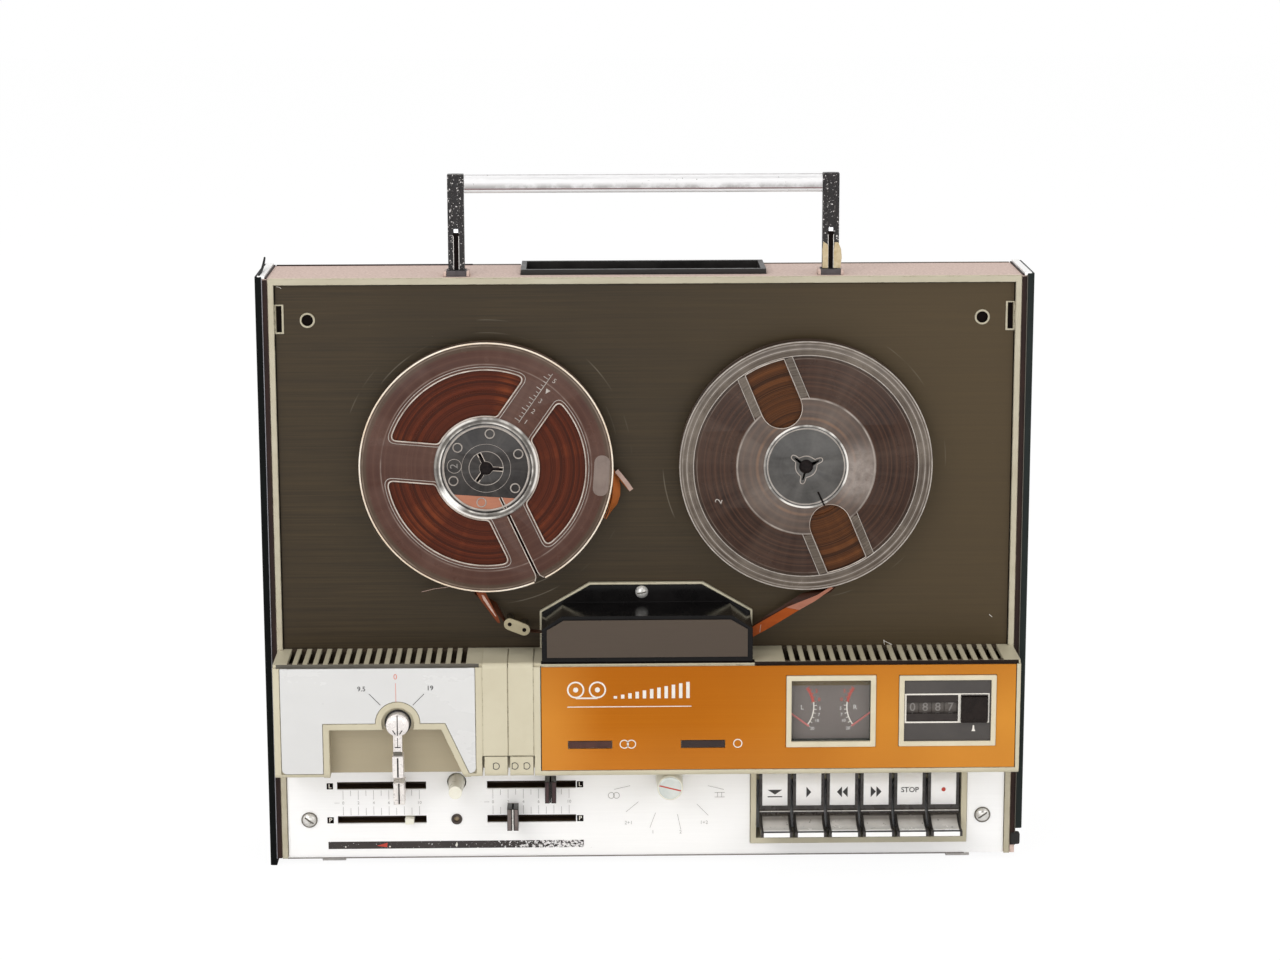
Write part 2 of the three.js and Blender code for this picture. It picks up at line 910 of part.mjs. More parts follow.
// Deck plate with its holes
const hole = (x, z, radius) => barY(x, z, radius, -overrun, deckBack + overrun);
let deck = block(-plateHalf, plateHalf, deckFace, deckBack, deckLow, innerTop - fit);
deck = cut(
  deck,
  block(-deckWindowHalf, deckWindowHalf, -overrun, deckBack + overrun, deckWindowLow, deckWindowHigh),
  hole(-lidPinX, lidPinZ, lidPinRadius),
  hole(lidPinX, lidPinZ, lidPinRadius),
  hole(-reelX, reelZ, spindleBoss - fit),
  hole(reelX, reelZ, spindleBoss - fit),
  hole(capstanX, capstanZ, bearingRadius + fit),
  hole(armPivotX, rollerRestZ, armPin + fit * 2),
);
for (const side of [-1, 1]) {
  const outer = side * (plateHalf - catchEdge);
  const inner = outer - side * catchWidth;
  const slot = block(
    Math.min(outer, inner), Math.max(outer, inner),
    -overrun, deckBack + overrun,
    catchZ - catchHeight / 2, catchZ + catchHeight / 2,
  );
  deck = deck.subtract(slot);
}
place(recorder, "deck_plate", deck, "olive");

// Control strip under the console
const faderPlaces = [
  [faderLeftX, faderUpperZ],
  [faderLeftX, faderLowerZ],
  [faderRightX, faderUpperZ],
  [faderRightX, faderLowerZ],
];
let strip = block(-plateHalf, plateHalf, stripFace, stripBack, footHeight, stripTop);
for (const [x, z] of faderPlaces) {
  const slot = block(
    x, x + faderLength,
    -overrun, stripBack + overrun,
    z - faderSlot / 2, z + faderSlot / 2,
  );
  strip = strip.subtract(slot);
}
strip = cut(
  strip,
  hole(buttonX, buttonZ, buttonRadius + fit),
  hole(jackX, jackZ, jackNeck + fit),
  hole(knobX, knobZ, knobShaft + fit),
  block(
    bezelLeft - fit, bezelRight + fit,
    -overrun, stripBack + overrun,
    bezelLow - fit, bezelHigh + fit,
  ),
);
place(recorder, "control_strip", strip, "satin");

// Chassis plate with posts for the deck and the strip and bosses for the spindles
const chassisBack = chassisFace + chassisThick;
const chassisLow = floorTop + fit + frameSkirt + fit;
let chassis = block(
  -plateHalf, plateHalf,
  chassisFace, chassisBack,
  chassisLow, innerTop - fit,
);
const chassisNotch = block(
  legX[0] - chassisTrayNotch, legX[1] + chassisTrayNotch,
  chassisFace - overrun, chassisBack + overrun,
  pocketLow - trayWall - chassisEdge, innerTop + overrun,
);
chassis = chassis.subtract(chassisNotch);
const deckPosts = [
  [-lidPinX, reelZ],
  [lidPinX, reelZ],
  [-lidPinX, tapeLine],
  [lidPinX, tapeLine],
  [0, reelZ],
  [0, reelZ + reelRadius * 0.75],
];
for (const [x, z] of deckPosts) {
  chassis = joined(chassis, barY(x, z, postRadius, deckBack + fit, chassisBack));
}
for (const side of [-1, 1]) {
  const post = barY(side * stripScrewX, stripScrewZ, postRadius, stripBack + fit, chassisBack);
  const boss = barY(side * reelX, reelZ, spindleBoss, spindleBossFront, chassisBack);
  const bore = barY(side * reelX, reelZ, spindleRadius + fit, 0, chassisBack + overrun);
  chassis = cut(joined(chassis, post, boss), bore);
}
const capstanBoss = barY(capstanX, capstanZ, bearingRadius, spindleBossFront, chassisBack);
const capstanBore = barY(capstanX, capstanZ, capstanRadius + fit, 0, chassisBack + overrun);
const armBoss = barY(armPivotX, rollerRestZ, armPin + chassisThick, spindleBossFront, chassisBack);
const armBore = barY(armPivotX, rollerRestZ, armPin + fit, 0, chassisBack + overrun);
const motorHole = barY(motorX, capstanZ, motorShaft * 2, 0, chassisBack + overrun);
chassis = cut(joined(chassis, capstanBoss, armBoss), capstanBore, armBore, motorHole);
place(recorder, "chassis_plate", chassis, "steel");

// Console moulding
const stepZ = fasciaTop;
const notchBack = consoleFace + grooveDeep;
const consoleShape = new THREE.Shape();
consoleShape.moveTo(consoleBack, consoleLow);
consoleShape.lineTo(consoleBack, consoleTop);
consoleShape.lineTo(notchBack, consoleTop);
consoleShape.lineTo(notchBack, stepZ);
consoleShape.lineTo(consoleFace, stepZ);
consoleShape.lineTo(consoleFace, consoleLow + consoleRound);
consoleShape.absarc(
  consoleFace + consoleRound, consoleLow + consoleRound,
  consoleRound, Math.PI, Math.PI * 1.5, false,
);
const consoleInner = block(
  -consoleHalf + consoleWall, consoleHalf - consoleWall,
  wallBack, consoleBack + overrun,
  consoleLow + consoleWall, consoleTop - consoleWall,
);

// Outline of the lever well's rim, drawn in X and Z and grown or shrunk by a margin
function wellOutline(margin, archRadius) {
  const left = wellLeft - margin;
  const top = wellTop + margin;
  const slope = (wellFoot - wellShoulder) / (wellTop - speedFasciaLow);
  const aside = margin * Math.hypot(1, slope);
  const low = consoleLow - overrun * 2;
  const footX = wellFoot + aside + (speedFasciaLow - low) * slope;
  const shoulderX = wellShoulder + aside - margin * slope;
  const rise = top - leverZ;
  const start = Math.PI - Math.asin(rise / archRadius);
  const end = Math.asin(rise / archRadius);
  const shape = new THREE.Shape();
  shape.moveTo(left, low);
  shape.lineTo(footX, low);
  shape.lineTo(shoulderX, top);
  shape.lineTo(leverX + archRadius * Math.cos(end), top);
  shape.absarc(leverX, leverZ, archRadius, end, start, false);
  shape.lineTo(left, top);
  return shape;
}

const fasciaRecessTop = fasciaTop + overrun * 2;
const speedRecess = block(
  speedFasciaLeft - fit, speedFasciaRight + fit,
  consoleFace - overrun, wallFace,
  speedFasciaLow - fit, fasciaRecessTop,
);
const rimKept = facePlate(wellOutline(0, leverArch), consoleFace - overrun * 2, wallFace + overrun, 8);
const meterRecess = block(
  meterFasciaLeft - fit, meterFasciaRight + fit,
  consoleFace - overrun, wallFace,
  meterFasciaLow - fit, fasciaRecessTop,
);
const wellBlock = facePlate(wellOutline(0, leverArch), wallFace, consoleFace + wellDeep + consoleWall, 8)
  .intersect(block(-consoleHalf, 0, consoleFace, 0, consoleLow, consoleTop));

// Hollow of the well: an outline inside the rim, swept back along a curved floor
const chute = new THREE.Shape();
const chuteTop = wellTop - wellRim;
chute.moveTo(consoleFace - overrun, consoleLow - overrun);
chute.lineTo(consoleFace + wellDeep, consoleLow - overrun);
chute.quadraticCurveTo(
  consoleFace + wellDeep, chuteTop - wellDeep / 2,
  consoleFace + wellTopDeep, chuteTop + fit,
);
chute.lineTo(consoleFace - overrun, chuteTop + fit);
const wellHollow = facePlate(wellInner(), consoleFace - overrun, 0, 4)
  .intersect(sidePlate(chute, -consoleHalf, 0, 8));

function wellInner() {
  const low = consoleLow - overrun * 2;
  const slope = (wellFoot - wellShoulder) / (wellTop - speedFasciaLow);
  const aside = wellRim * Math.hypot(1, slope);
  return outlineOf([
    [wellLeft + wellRim, low],
    [wellFoot - aside + (speedFasciaLow - low) * slope, low],
    [wellShoulder - aside + wellRim * slope, chuteTop],
    [wellLeft + wellRim, chuteTop],
  ]);
}

const leverPocketCut = barY(
  leverX, leverZ, leverPocket, consoleFace - overrun, consoleFace + leverPocketDeep, fine,
);
const leverBore = barY(leverX, leverZ, leverShaft + fit, consoleFace - overrun, 0);

// Two tall panels over the top and front, each a little proud
function tallPanel(x0, x1) {
  const shape = new THREE.Shape();
  const face = consoleFace - panelProud;
  const top = consoleTop + panelProud;
  shape.moveTo(wallFace, panelLow);
  shape.lineTo(wallFace, consoleTop - consoleWall / 2);
  shape.lineTo(-grilleRear, consoleTop - consoleWall / 2);
  shape.lineTo(-grilleRear, top);
  shape.lineTo(face + consoleRound, top);
  shape.absarc(face + consoleRound, top - consoleRound, consoleRound, Math.PI / 2, Math.PI, false);
  shape.lineTo(face, panelLow);
  return sidePlate(shape, x0 + panelGroove / 2, x1 - panelGroove / 2);
}

const tipWindow = block(
  panelLeft - fit, panelRight + fit,
  consoleFace - overrun, wallBack + tipReach,
  consoleLow - overrun, panelLow - fit,
);
const ribFront = wallBack + tipReach;
const tipRibPlate = block(
  panelLeft - overrun, panelRight + overrun,
  ribFront, ribFront + tipRib,
  consoleLow, tipRibHigh,
);
const tipZ = (panelLow + consoleLow) / 2;
const tipX = [(panelLeft + panelMiddle) / 2, (panelMiddle + panelRight) / 2];

const meterHole = block(
  meterLeft - meterSide - fit * 3, meterRight + meterSide + fit * 3,
  wallFace - fit, wallBack + overrun,
  meterLow - fit * 3, meterHigh + fit * 3,
);
const counterHole = block(
  counterLeft - fit, counterRight + fit,
  wallFace - fit, wallBack + overrun,
  counterLow - fit, counterHigh + fit,
);

// Thin ivory rim that stands behind the head cover
const maskOutline = (margin) => outlineOf([
  [-coverHalf - margin, coverLow],
  [coverHalf + margin, coverLow],
  [coverHalf + margin, maskShoulder + margin / 2],
  [maskFlat + margin / 2, maskTop + margin],
  [-maskFlat - margin / 2, maskTop + margin],
  [-coverHalf - margin, maskShoulder + margin / 2],
]);
const coverBack = deckFace - fit;
const maskFront = coverBack - maskThick;
const rimOuter = facePlate(
  maskOutline(fit + maskRim), maskFront, coverBack,
);
const rimInner = facePlate(maskOutline(fit), maskFront - overrun, coverBack + overrun);
const rimFoot = block(
  -coverHalf - fit - maskRim, -coverHalf - fit,
  maskFront, coverBack, consoleTop - consoleWall, coverLow + overrun,
);
const rimFootRight = block(
  coverHalf + fit, coverHalf + fit + maskRim,
  maskFront, coverBack, consoleTop - consoleWall, coverLow + overrun,
);
const headRim = joined(cut(rimOuter, rimInner), rimFoot, rimFootRight);

const transportHole = block(
  -coverHalf + coverWall, coverHalf - coverWall,
  wallBack, coverBack + overrun,
  consoleTop - consoleWall - overrun, consoleTop + overrun,
);
const consoleSeats = [-1, 1].map((side) => block(
  Math.min(side * plateHalf, side * (consoleHalf + overrun)),
  Math.max(side * plateHalf, side * (consoleHalf + overrun)),
  -fit, consoleBack + overrun,
  consoleLow - overrun, consoleTop + overrun,
));
let consoleBody = sidePlate(consoleShape, -consoleHalf, consoleHalf);
consoleBody = cut(consoleBody, consoleInner, cut(speedRecess, rimKept), meterRecess, ...consoleSeats);
consoleBody = joined(
  consoleBody,
  wellBlock,
  tallPanel(panelLeft, panelMiddle),
  tallPanel(panelMiddle, panelRight),
);
consoleBody = cut(consoleBody, wellHollow, leverPocketCut, leverBore, tipWindow, meterHole, counterHole);
consoleBody = joined(consoleBody, tipRibPlate, headRim);
for (const x of tipX) {
  const stemBore = barY(x, tipZ, tipStem + fit, ribFront - overrun, ribFront + tipRib + overrun, 12);
  consoleBody = consoleBody.subtract(stemBore);
}
// The top is thinner where the two rows of vents go through
for (const [first, count] of [[grilleLeft, grilleLeftCount], [grilleRight, grilleRightCount]]) {
  consoleBody = consoleBody.subtract(block(
    first - grilleWidth / 2, first + (count - 1) * grillePitch + grilleWidth / 2,
    -grilleFront, -grilleEnd,
    consoleTop - consoleWall - overrun, consoleTop - grilleSkin,
  ));
  for (let i = 0; i < count; i += 1) {
    const x = first + i * grillePitch;
    const slot = block(
      x - grilleWidth / 2, x + grilleWidth / 2,
      -grilleFront, -grilleEnd,
      consoleTop - consoleWall - overrun, consoleTop + overrun,
    );
    consoleBody = consoleBody.subtract(slot);
  }
}
place(recorder, "console_housing", consoleBody, "ivory");

// White fascia with its notch round the lever
const speedShape = roundedBox(
  speedFasciaLeft, speedFasciaRight, speedFasciaLow, fasciaTop - fit, fasciaCorner,
);
const speedFascia = cut(
  facePlate(speedShape, consoleFace, fasciaBack, 4),
  facePlate(wellOutline(fit, leverArch + fit), consoleFace - overrun, fasciaBack + overrun, 8),
);
place(recorder, "speed_fascia", speedFascia, "white");

// Orange fascia with openings for the meter, the counter and two lamps
const fasciaCut = (x0, x1, z0, z1) =>
  block(x0 - fit, x1 + fit, consoleFace - overrun, fasciaBack + overrun, z0 - fit, z1 + fit);
const meterFascia = cut(
  block(meterFasciaLeft, meterFasciaRight, consoleFace, fasciaBack, meterFasciaLow, fasciaTop - fit),
  fasciaCut(meterLeft, meterRight, meterLow, meterHigh),
  fasciaCut(counterLeft, counterRight, counterLow, counterHigh),
  fasciaCut(lampLeftX, lampLeftX + lampWidth, lampLow, lampLow + lampHeight),
  fasciaCut(lampRightX, lampRightX + lampWidth, lampLow, lampLow + lampHeight),
);
place(recorder, "meter_fascia", meterFascia, "orange");

// Speed lever, standing straight down at its middle position
const leverFace = consoleFace - leverStand - leverArmThick;
const leverBack = consoleFace - leverStand;
const speedLever = joined(
  barY(leverX, leverZ, leverHub, leverFace, consoleFace + leverPocketDeep - fit, fine),
  barY(leverX, leverZ, leverShaft, leverBack, -leverShaftEnd + consoleWall),
  block(leverX - leverArm / 2, leverX + leverArm / 2, leverFace, leverBack, leverTipTop, leverZ),
  block(
    leverX - leverTip / 2, leverX + leverTip / 2,
    consoleFace - leverTipFront, consoleFace + leverTipRear,
    leverTipLow, leverTipTop + fit,
  ),
);
place(recorder, "speed_lever", speedLever, "chrome");

// Push tips under the tall panels
function pushTip(x0, x1) {
  const face = consoleFace - panelProud / 2;
  const back = wallBack + tipReach - tipTravel - fit;
  const low = consoleLow + fit;
  const high = panelLow - fit * 2;
  const shape = new THREE.Shape();
  shape.moveTo(back, low);
  shape.lineTo(back, high);
  shape.lineTo(face, high);
  shape.lineTo(face, low + consoleRound);
  shape.absarc(face + consoleRound, low + consoleRound, consoleRound, Math.PI, Math.PI * 1.5, false);
  const middle = (x0 + x1) / 2;
  return joined(
    sidePlate(shape, x0 + tipSide, x1 - tipSide / 2),
    barY(middle, tipZ, tipStem, back - fit, back + tipStemReach, 12),
  );
}
place(recorder, "push_tip_left", pushTip(panelLeft, panelMiddle), "ivory");
place(recorder, "push_tip_right", pushTip(panelMiddle, panelRight), "ivory");

// Level meter: housing with two pivots, framed window and two needles
const scaleFace = wallFace + meterScaleDeep;
const needleX = [meterLeft - needlePivotOut, meterRight + needlePivotOut];
let meterHousing = cut(
  block(meterLeft - meterSide, meterRight + meterSide, wallFace, wallFace + meterDepth, meterLow, meterHigh),
  block(
    meterLeft - meterSide + meterPane, meterRight + meterSide - meterPane,
    wallFace - overrun, scaleFace,
    meterLow + meterPane, meterHigh - meterPane,
  ),
);
for (const x of needleX) {
  const pinHole = barY(x, needlePivotZ, needlePin + fit, scaleFace - overrun, scaleFace + needlePinReach + fit, 12);
  meterHousing = meterHousing.subtract(pinHole);
}
place(recorder, "meter_housing", meterHousing, "black");
const lensFront = consoleFace - meterProud;
const meterLens = cut(
  block(meterLeft, meterRight, lensFront, fasciaBack, meterLow, meterHigh),
  block(
    meterLeft + meterBar, meterRight - meterBar,
    lensFront - overrun, fasciaBack - meterPane,
    meterLow + meterBar, meterHigh - meterBar,
  ),
);
place(recorder, "meter_lens", meterLens, "clear");
function needle(side) {
  const front = scaleFace - fit - needleThick;
  const pointer = block(0, side * needleLength, front, front + needleThick, -needleWidth / 2, needleWidth / 2);
  const hub = barY(0, 0, needleHub, front, front + needleThick, 16);
  const pin = barY(0, 0, needlePin, front, scaleFace + needlePinReach, 12);
  return joined(turned(pointer, side * needleRest, 0, 0), hub, pin);
}
place(recorder, "needle_left", needleSide(1), "red", needleX[0], 0, needlePivotZ);
place(recorder, "needle_right", needleSide(-1), "red", needleX[1], 0, needlePivotZ);

function needleSide(side) {
  return side > 0 ? needle(1) : turnedHalf(needle(1));
}

// Tape counter: framed plate, number wheels on their shaft and the reset button
const plateFront = consoleFace + counterPlateDeep - meterProud;
const plateBack = plateFront + counterPlateThick;
const wheelY = plateBack + fit + wheelRadius;
const wheelZ = (digitLow + digitHigh) / 2;
const earZ = wheelBore * 2;
const resetBack = plateBack + resetReach;
let counterPlate = joined(
  cut(
    block(counterLeft, counterRight, consoleFace - meterProud, plateBack, counterLow, counterHigh),
    block(
      counterLeft + counterBar, counterRight - counterBar,
      consoleFace - meterProud - overrun, plateFront,
      counterLow + counterBar, counterHigh - counterBar,
    ),
  ),
  block(digitLeft - earThick, digitLeft, plateBack - fit, wheelY + earZ, wheelZ - earZ, wheelZ + earZ),
  block(digitRight, digitRight + earThick, plateBack - fit, wheelY + earZ, wheelZ - earZ, wheelZ + earZ),
  block(
    resetLeft - fit - resetWall, resetRight + fit + resetWall,
    plateBack - fit, resetBack,
    resetLow - fit - resetWall, resetHigh + fit + resetWall,
  ),
);
counterPlate = cut(
  counterPlate,
  block(digitLeft, digitRight, consoleFace - overrun, plateBack + overrun, digitLow, digitHigh),
  block(
    resetLeft - fit, resetRight + fit,
    consoleFace - overrun, resetBack + overrun,
    resetLow - fit, resetHigh + fit,
  ),
);
counterPlate = joined(
  counterPlate,
  barX(wheelY, wheelZ, wheelBore - fit, digitLeft - earThick / 2, digitRight + earThick / 2, 12),
);
place(recorder, "counter_plate", counterPlate, "black");
const wheelWidth = (digitRight - digitLeft - fit * 2) / wheelCount;
let wheels = barX(wheelY, wheelZ, wheelRadius, digitLeft + fit, digitRight - fit, 30);
for (let i = 1; i < wheelCount; i += 1) {
  const x = digitLeft + fit + i * wheelWidth;
  const ring = cut(
    barX(wheelY, wheelZ, wheelRadius + overrun, x - wheelGroove / 2, x + wheelGroove / 2, 30),
    barX(wheelY, wheelZ, wheelRadius - wheelGroove, x - wheelGroove, x + wheelGroove, 30),
  );
  wheels = wheels.subtract(ring);
}
wheels = cut(wheels, barX(wheelY, wheelZ, wheelBore, digitLeft, digitRight, 12));
place(recorder, "counter_wheels", wheels, "black");
const resetButton = block(
  resetLeft, resetRight,
  consoleFace - meterProud * 2, resetBack - overrun - fit,
  resetLow, resetHigh,
);
place(recorder, "counter_reset", resetButton, "black");

// Circuit board behind the strip, with the fader channels and the switch bodies on it
const channelBack = boardFace - channelFloor;
let board = block(boardLeft, boardRight, boardFace, boardFace + boardThick, boardLow, boardHigh);
for (const [x, z] of faderPlaces) {
  const half = faderSlot / 2;
  const shell = block(
    x - channelWall, x + faderLength + channelWall,
    boardFace - channelDepth, boardFace + fit,
    z - half - channelWall, z + half + channelWall,
  );
  const inside = block(x, x + faderLength, 0, channelBack, z - half, z + half);
  board = cut(joined(board, shell), inside);
}
const buttonGuide = cut(
  barY(buttonX, buttonZ, buttonRadius + fit + guideWall, stripBack + fit, boardFace + fit, fine),
  barY(buttonX, buttonZ, buttonRadius + fit, 0, channelBack, fine),
);
const switchBody = cut(
  barY(knobX, knobZ, switchRadius, stripBack + fit * 2, boardFace + fit),
  barY(knobX, knobZ, knobShaft + fit, 0, knobShaftEnd + fit),
);
const boardPosts = [boardLeft, (boardLeft + boardRight) / 2, boardRight].map((x, i) =>
  barY(x + (1 - i) * postRadius, boardLow + postRadius, postRadius, boardFace, chassisFace - fit),
);
board = joined(board, buttonGuide, switchBody, ...boardPosts);
place(recorder, "circuit_board", board, "board");

// Faders: a stem in its channel, with a cap on three of the four
const stemBack = channelBack - fit;
const stem = block(-stemWidth / 2, stemWidth / 2, stemFront, stemBack, -stemHeight / 2, stemHeight / 2);
const bareStem = stem;
const cap = (lift) =>
  block(-capWidth / 2, capWidth / 2, capFront, capRear, -capHeight / 2 + lift, capHeight / 2 + lift);
const blade = (lift) => {
  const slot = block(-legGroove / 6, legGroove / 6, capFront - overrun, capRear - 1, -capHeight, capHeight);
  return cut(cap(lift), slot);
};
const cappedStem = joined(stem, cap(0));
place(recorder, "fader_upper_left", cappedStem, "chrome", upperLeftX, 0, faderUpperZ);
place(recorder, "fader_lower_left", bareStem, "ivory", lowerLeftX, 0, faderLowerZ);
place(recorder, "fader_upper_right", joined(stem, blade(0)), "black", upperRightX, 0, faderUpperZ);
place(
  recorder, "fader_lower_right", joined(stem, blade(lowerRightLift)), "black",
  lowerRightX, 0, faderLowerZ,
);

// White push button, headphone jack and function knob
const button = joined(
  barY(0, 0, buttonRadius, buttonFront + buttonNeck, buttonRear, fine, buttonTip),
  barY(0, 0, buttonTip, buttonFront, buttonFront + buttonNeck + fit, fine),
);
place(recorder, "push_button", button, "white", buttonX, 0, buttonZ);
const jackHead = -fit + stripFace;
const jack = turnedY(
  [
    [jackBore, jackFace - fit],
    [jackRing, jackFace - fit],
    [jackRing, jackHead],
    [jackNeck, jackHead],
    [jackNeck, stripBack + fit],
    [jackBody, stripBack + fit],
    [jackBody, jackRear],
    [0, jackRear],
    [0, jackRear - channelFloor],
    [jackBore, jackRear - channelFloor],
    [jackBore, jackFace - fit],
  ],
  0, 0, coarse,
);
place(recorder, "headphone_jack", jack, "chrome", jackX, 0, jackZ);
const knob = turnedY(
  [
    [0, knobFront],
    [knobRadius - knobEdge, knobFront],
    [knobRadius, knobFront + knobEdge],
    [knobRadius + knobDraft, knobRear],
    [knobShaft, knobRear],
    [knobShaft, knobShaftEnd],
    [0, knobShaftEnd],
  ],
  0, 0,
);
place(recorder, "function_knob", knob, "white", knobX, 0, knobZ);

// Key bezel with the rod that the keys turn on
const bezelBack = chassisFace - fit;
const bezel = joined(
  cut(
    block(bezelLeft, bezelRight, 0, bezelBack, bezelLow, bezelHigh),
    block(
      bezelLeft + bezelBar, bezelRight - bezelBar,
      -overrun, bezelBack + overrun,
      bezelLow + bezelBar, bezelHigh - bezelBar,
    ),
  ),
  barX(keyPivotY, keyPivotZ, keyRod, bezelLeft + bezelBar / 2, bezelRight - bezelBar / 2, 16),
);
place(recorder, "key_bezel", bezel, "ivory");

// One piano key in side view: label plate, ridge, swooping paddle and lip
function pianoKey() {
  const shape = new THREE.Shape();
  shape.moveTo(keyFace + keyThick, keyTop);
  shape.lineTo(keyFace, keyTop);
  shape.lineTo(keyFace - keyThick / 8, keyRidge + keyThick / 4);
  shape.lineTo(keyFace - keyThick / 3, keyRidge);
  shape.lineTo(keyFace - keyThick / 3, keyRidge - keyThick / 4);
  shape.quadraticCurveTo(-keyReach / 4, keyLipTop - keySwoop / 4, -keyReach, keyLipTop);
  shape.lineTo(-keyReach, keyLipLow);
  shape.lineTo(-keyReach / 2, keyLipLow);
  shape.lineTo(keyFace, keyLipLow);
  shape.lineTo(keyFace + keyThick, keyRidge);
  const body = sidePlate(shape, -keyWidth / 2, keyWidth / 2, 6);
  const hub = barX(keyPivotY, keyPivotZ, keyHub, -keyWidth / 2, keyWidth / 2, 16);
  const bore = barX(keyPivotY, keyPivotZ, keyRod + keyBoreGap, -keyWidth, keyWidth, 16);
  return cut(joined(body, hub), bore);
}
const keyNames = ["key_pause", "key_play", "key_rewind", "key_forward", "key_stop", "key_record"];
const keySolid = pianoKey();
for (let i = 0; i < keyCount; i += 1) {
  place(recorder, keyNames[i], keySolid, "black", keyFirst + i * keyPitch, 0, 0);
}

// Head cover: a chamfered box on a mask plate, open behind, with slots for the tape
const coverShape = outlineOf([
  [-coverHalf, coverLow],
  [coverHalf, coverLow],
  [coverHalf, coverLedge - coverCornerDrop],
  [coverHalf - coverCorner, coverLedge],
  [-coverHalf + coverCorner, coverLedge],
  [-coverHalf, coverLedge - coverCornerDrop],
]);
const coverHollow = outlineOf([
  [-coverHalf + coverWall, coverLow - overrun],
  [coverHalf - coverWall, coverLow - overrun],
  [coverHalf - coverWall, coverLedge - coverCornerDrop - coverWall / 2],
  [coverHalf - coverCorner - coverWall / 2, coverLedge - coverWall],
  [-coverHalf + coverCorner + coverWall / 2, coverLedge - coverWall],
  [-coverHalf + coverWall, coverLedge - coverCornerDrop - coverWall / 2],
]);
const tapeSlots = block(
  -coverHalf - overrun, coverHalf + overrun,
  tapeSlotFront, coverBack + overrun,
  tapeSlotLow, tapeSlotHigh,
);
const insetBack = coverFront + insetThick;
const headCover = cut(
  joined(
    facePlate(coverShape, insetBack, coverBack),
    facePlate(maskOutline(0), maskFront, coverBack),
  ),
  facePlate(coverHollow, insetBack + coverWall, coverBack + overrun),
  tapeSlots,
);
place(recorder, "head_cover", headCover, "glossBlack");
const insetShape = outlineOf([
  [-coverHalf + insetMargin, coverLow + insetMargin],
  [coverHalf - insetMargin, coverLow + insetMargin],
  [coverHalf - insetMargin, coverLedge - coverCornerDrop],
  [coverHalf - coverCorner - insetMargin / 3, coverLedge - insetTopMargin],
  [-coverHalf + coverCorner + insetMargin / 3, coverLedge - insetTopMargin],
  [-coverHalf + insetMargin, coverLedge - coverCornerDrop],
]);
place(recorder, "head_cover_inset", facePlate(insetShape, coverFront - fit, insetBack - fit), "olive");

// Heads on their plate, under the tape line
const headTop = tapeLine - tapeThick / 2 - fit;
const headPlateFront = coverBack - headPlate;
const heads = joined(
  block(headPlateLeft, headPlateRight, headPlateFront, coverBack, headLow, headTop),
  block(eraseLeft, eraseLeft + eraseWidth, headFront, coverBack, headLow, headTop),
  block(playLeft, playLeft + playWidth, headFront, coverBack, headLow, headTop),
);
place(recorder, "tape_heads", heads, "steel");

// Capstan on its flywheel
const flywheelBack = flywheelFront + flywheelThick;
const webFront = flywheelFront + (flywheelThick - flywheelWeb) / 2;
const webBack = webFront + flywheelWeb;
const rimInnerRadius = flywheelRadius - flywheelRim;
const capstan = turnedY(
  [
    [0, capstanFront],
    [capstanRadius, capstanFront],
    [capstanRadius, flywheelFront],
    [flywheelHub, flywheelFront],
    [flywheelHub, webFront],
    [rimInnerRadius, webFront],
    [rimInnerRadius, flywheelFront],
    [flywheelRadius, flywheelFront],
    [flywheelRadius, flywheelBack],
    [rimInnerRadius, flywheelBack],
    [rimInnerRadius, webBack],
    [flywheelHub, webBack],
    [flywheelHub, flywheelBack],
    [0, flywheelBack],
  ],
  0, 0,
);
place(recorder, "capstan_flywheel", capstan, "steel", capstanX, 0, capstanZ);

// Pinch roller on its arm, held off the tape at rest
const pinchArm = joined(
  block(0, armPivotX - capstanX, armFace, armFace + armThick, -armWidth / 2, armWidth / 2),
  barY(0, 0, armWidth / 2, armFace, armFace + armThick),
  barY(armPivotX - capstanX, 0, armWidth / 2, armFace, armFace + armThick),
  barY(armPivotX - capstanX, 0, armPin, armFace, armPinEnd),
  barY(0, 0, rollerPin, packFront - rollerPinEnd, armFace + fit),
);
place(recorder, "pinch_arm", pinchArm, "steel", capstanX, 0, rollerRestZ);
const pinchRoller = cut(
  barY(0, 0, rollerRadius, packFront, packRear, fine),
  barY(0, 0, rollerPin + fit, packFront - overrun, packRear + overrun),
);
place(recorder, "pinch_roller", pinchRoller, "rubber", capstanX, 0, rollerRestZ);

// Tape guide: two posts under a stadium plate
const guideRun = guideSpacing * Math.cos(guideTilt * degree);
const guideRise = guideSpacing * Math.sin(guideTilt * degree);
const guideFar = [guideX + guideRun, guideZ + guideRise];
const guideBar = block(
  0, guideSpacing,
  guidePlateFront, guidePlateFront + guidePlateThick,
  -guidePlateRadius, guidePlateRadius,
);
const guideBack = guidePlateFront + guidePlateThick;
const tapeGuide = joined(
  turned(guideBar, guideTilt, guideX, guideZ),
  barY(guideX, guideZ, guidePlateRadius, guidePlateFront, guideBack),
  barY(guideFar[0], guideFar[1], guidePlateRadius, guidePlateFront, guideBack),
  barY(guideX, guideZ, guidePost, guidePlateFront, deckFace - fit, 16),
  barY(guideFar[0], guideFar[1], guidePost, guidePlateFront, deckFace - fit, 16),
);
place(recorder, "tape_guide", tapeGuide, "ivory");

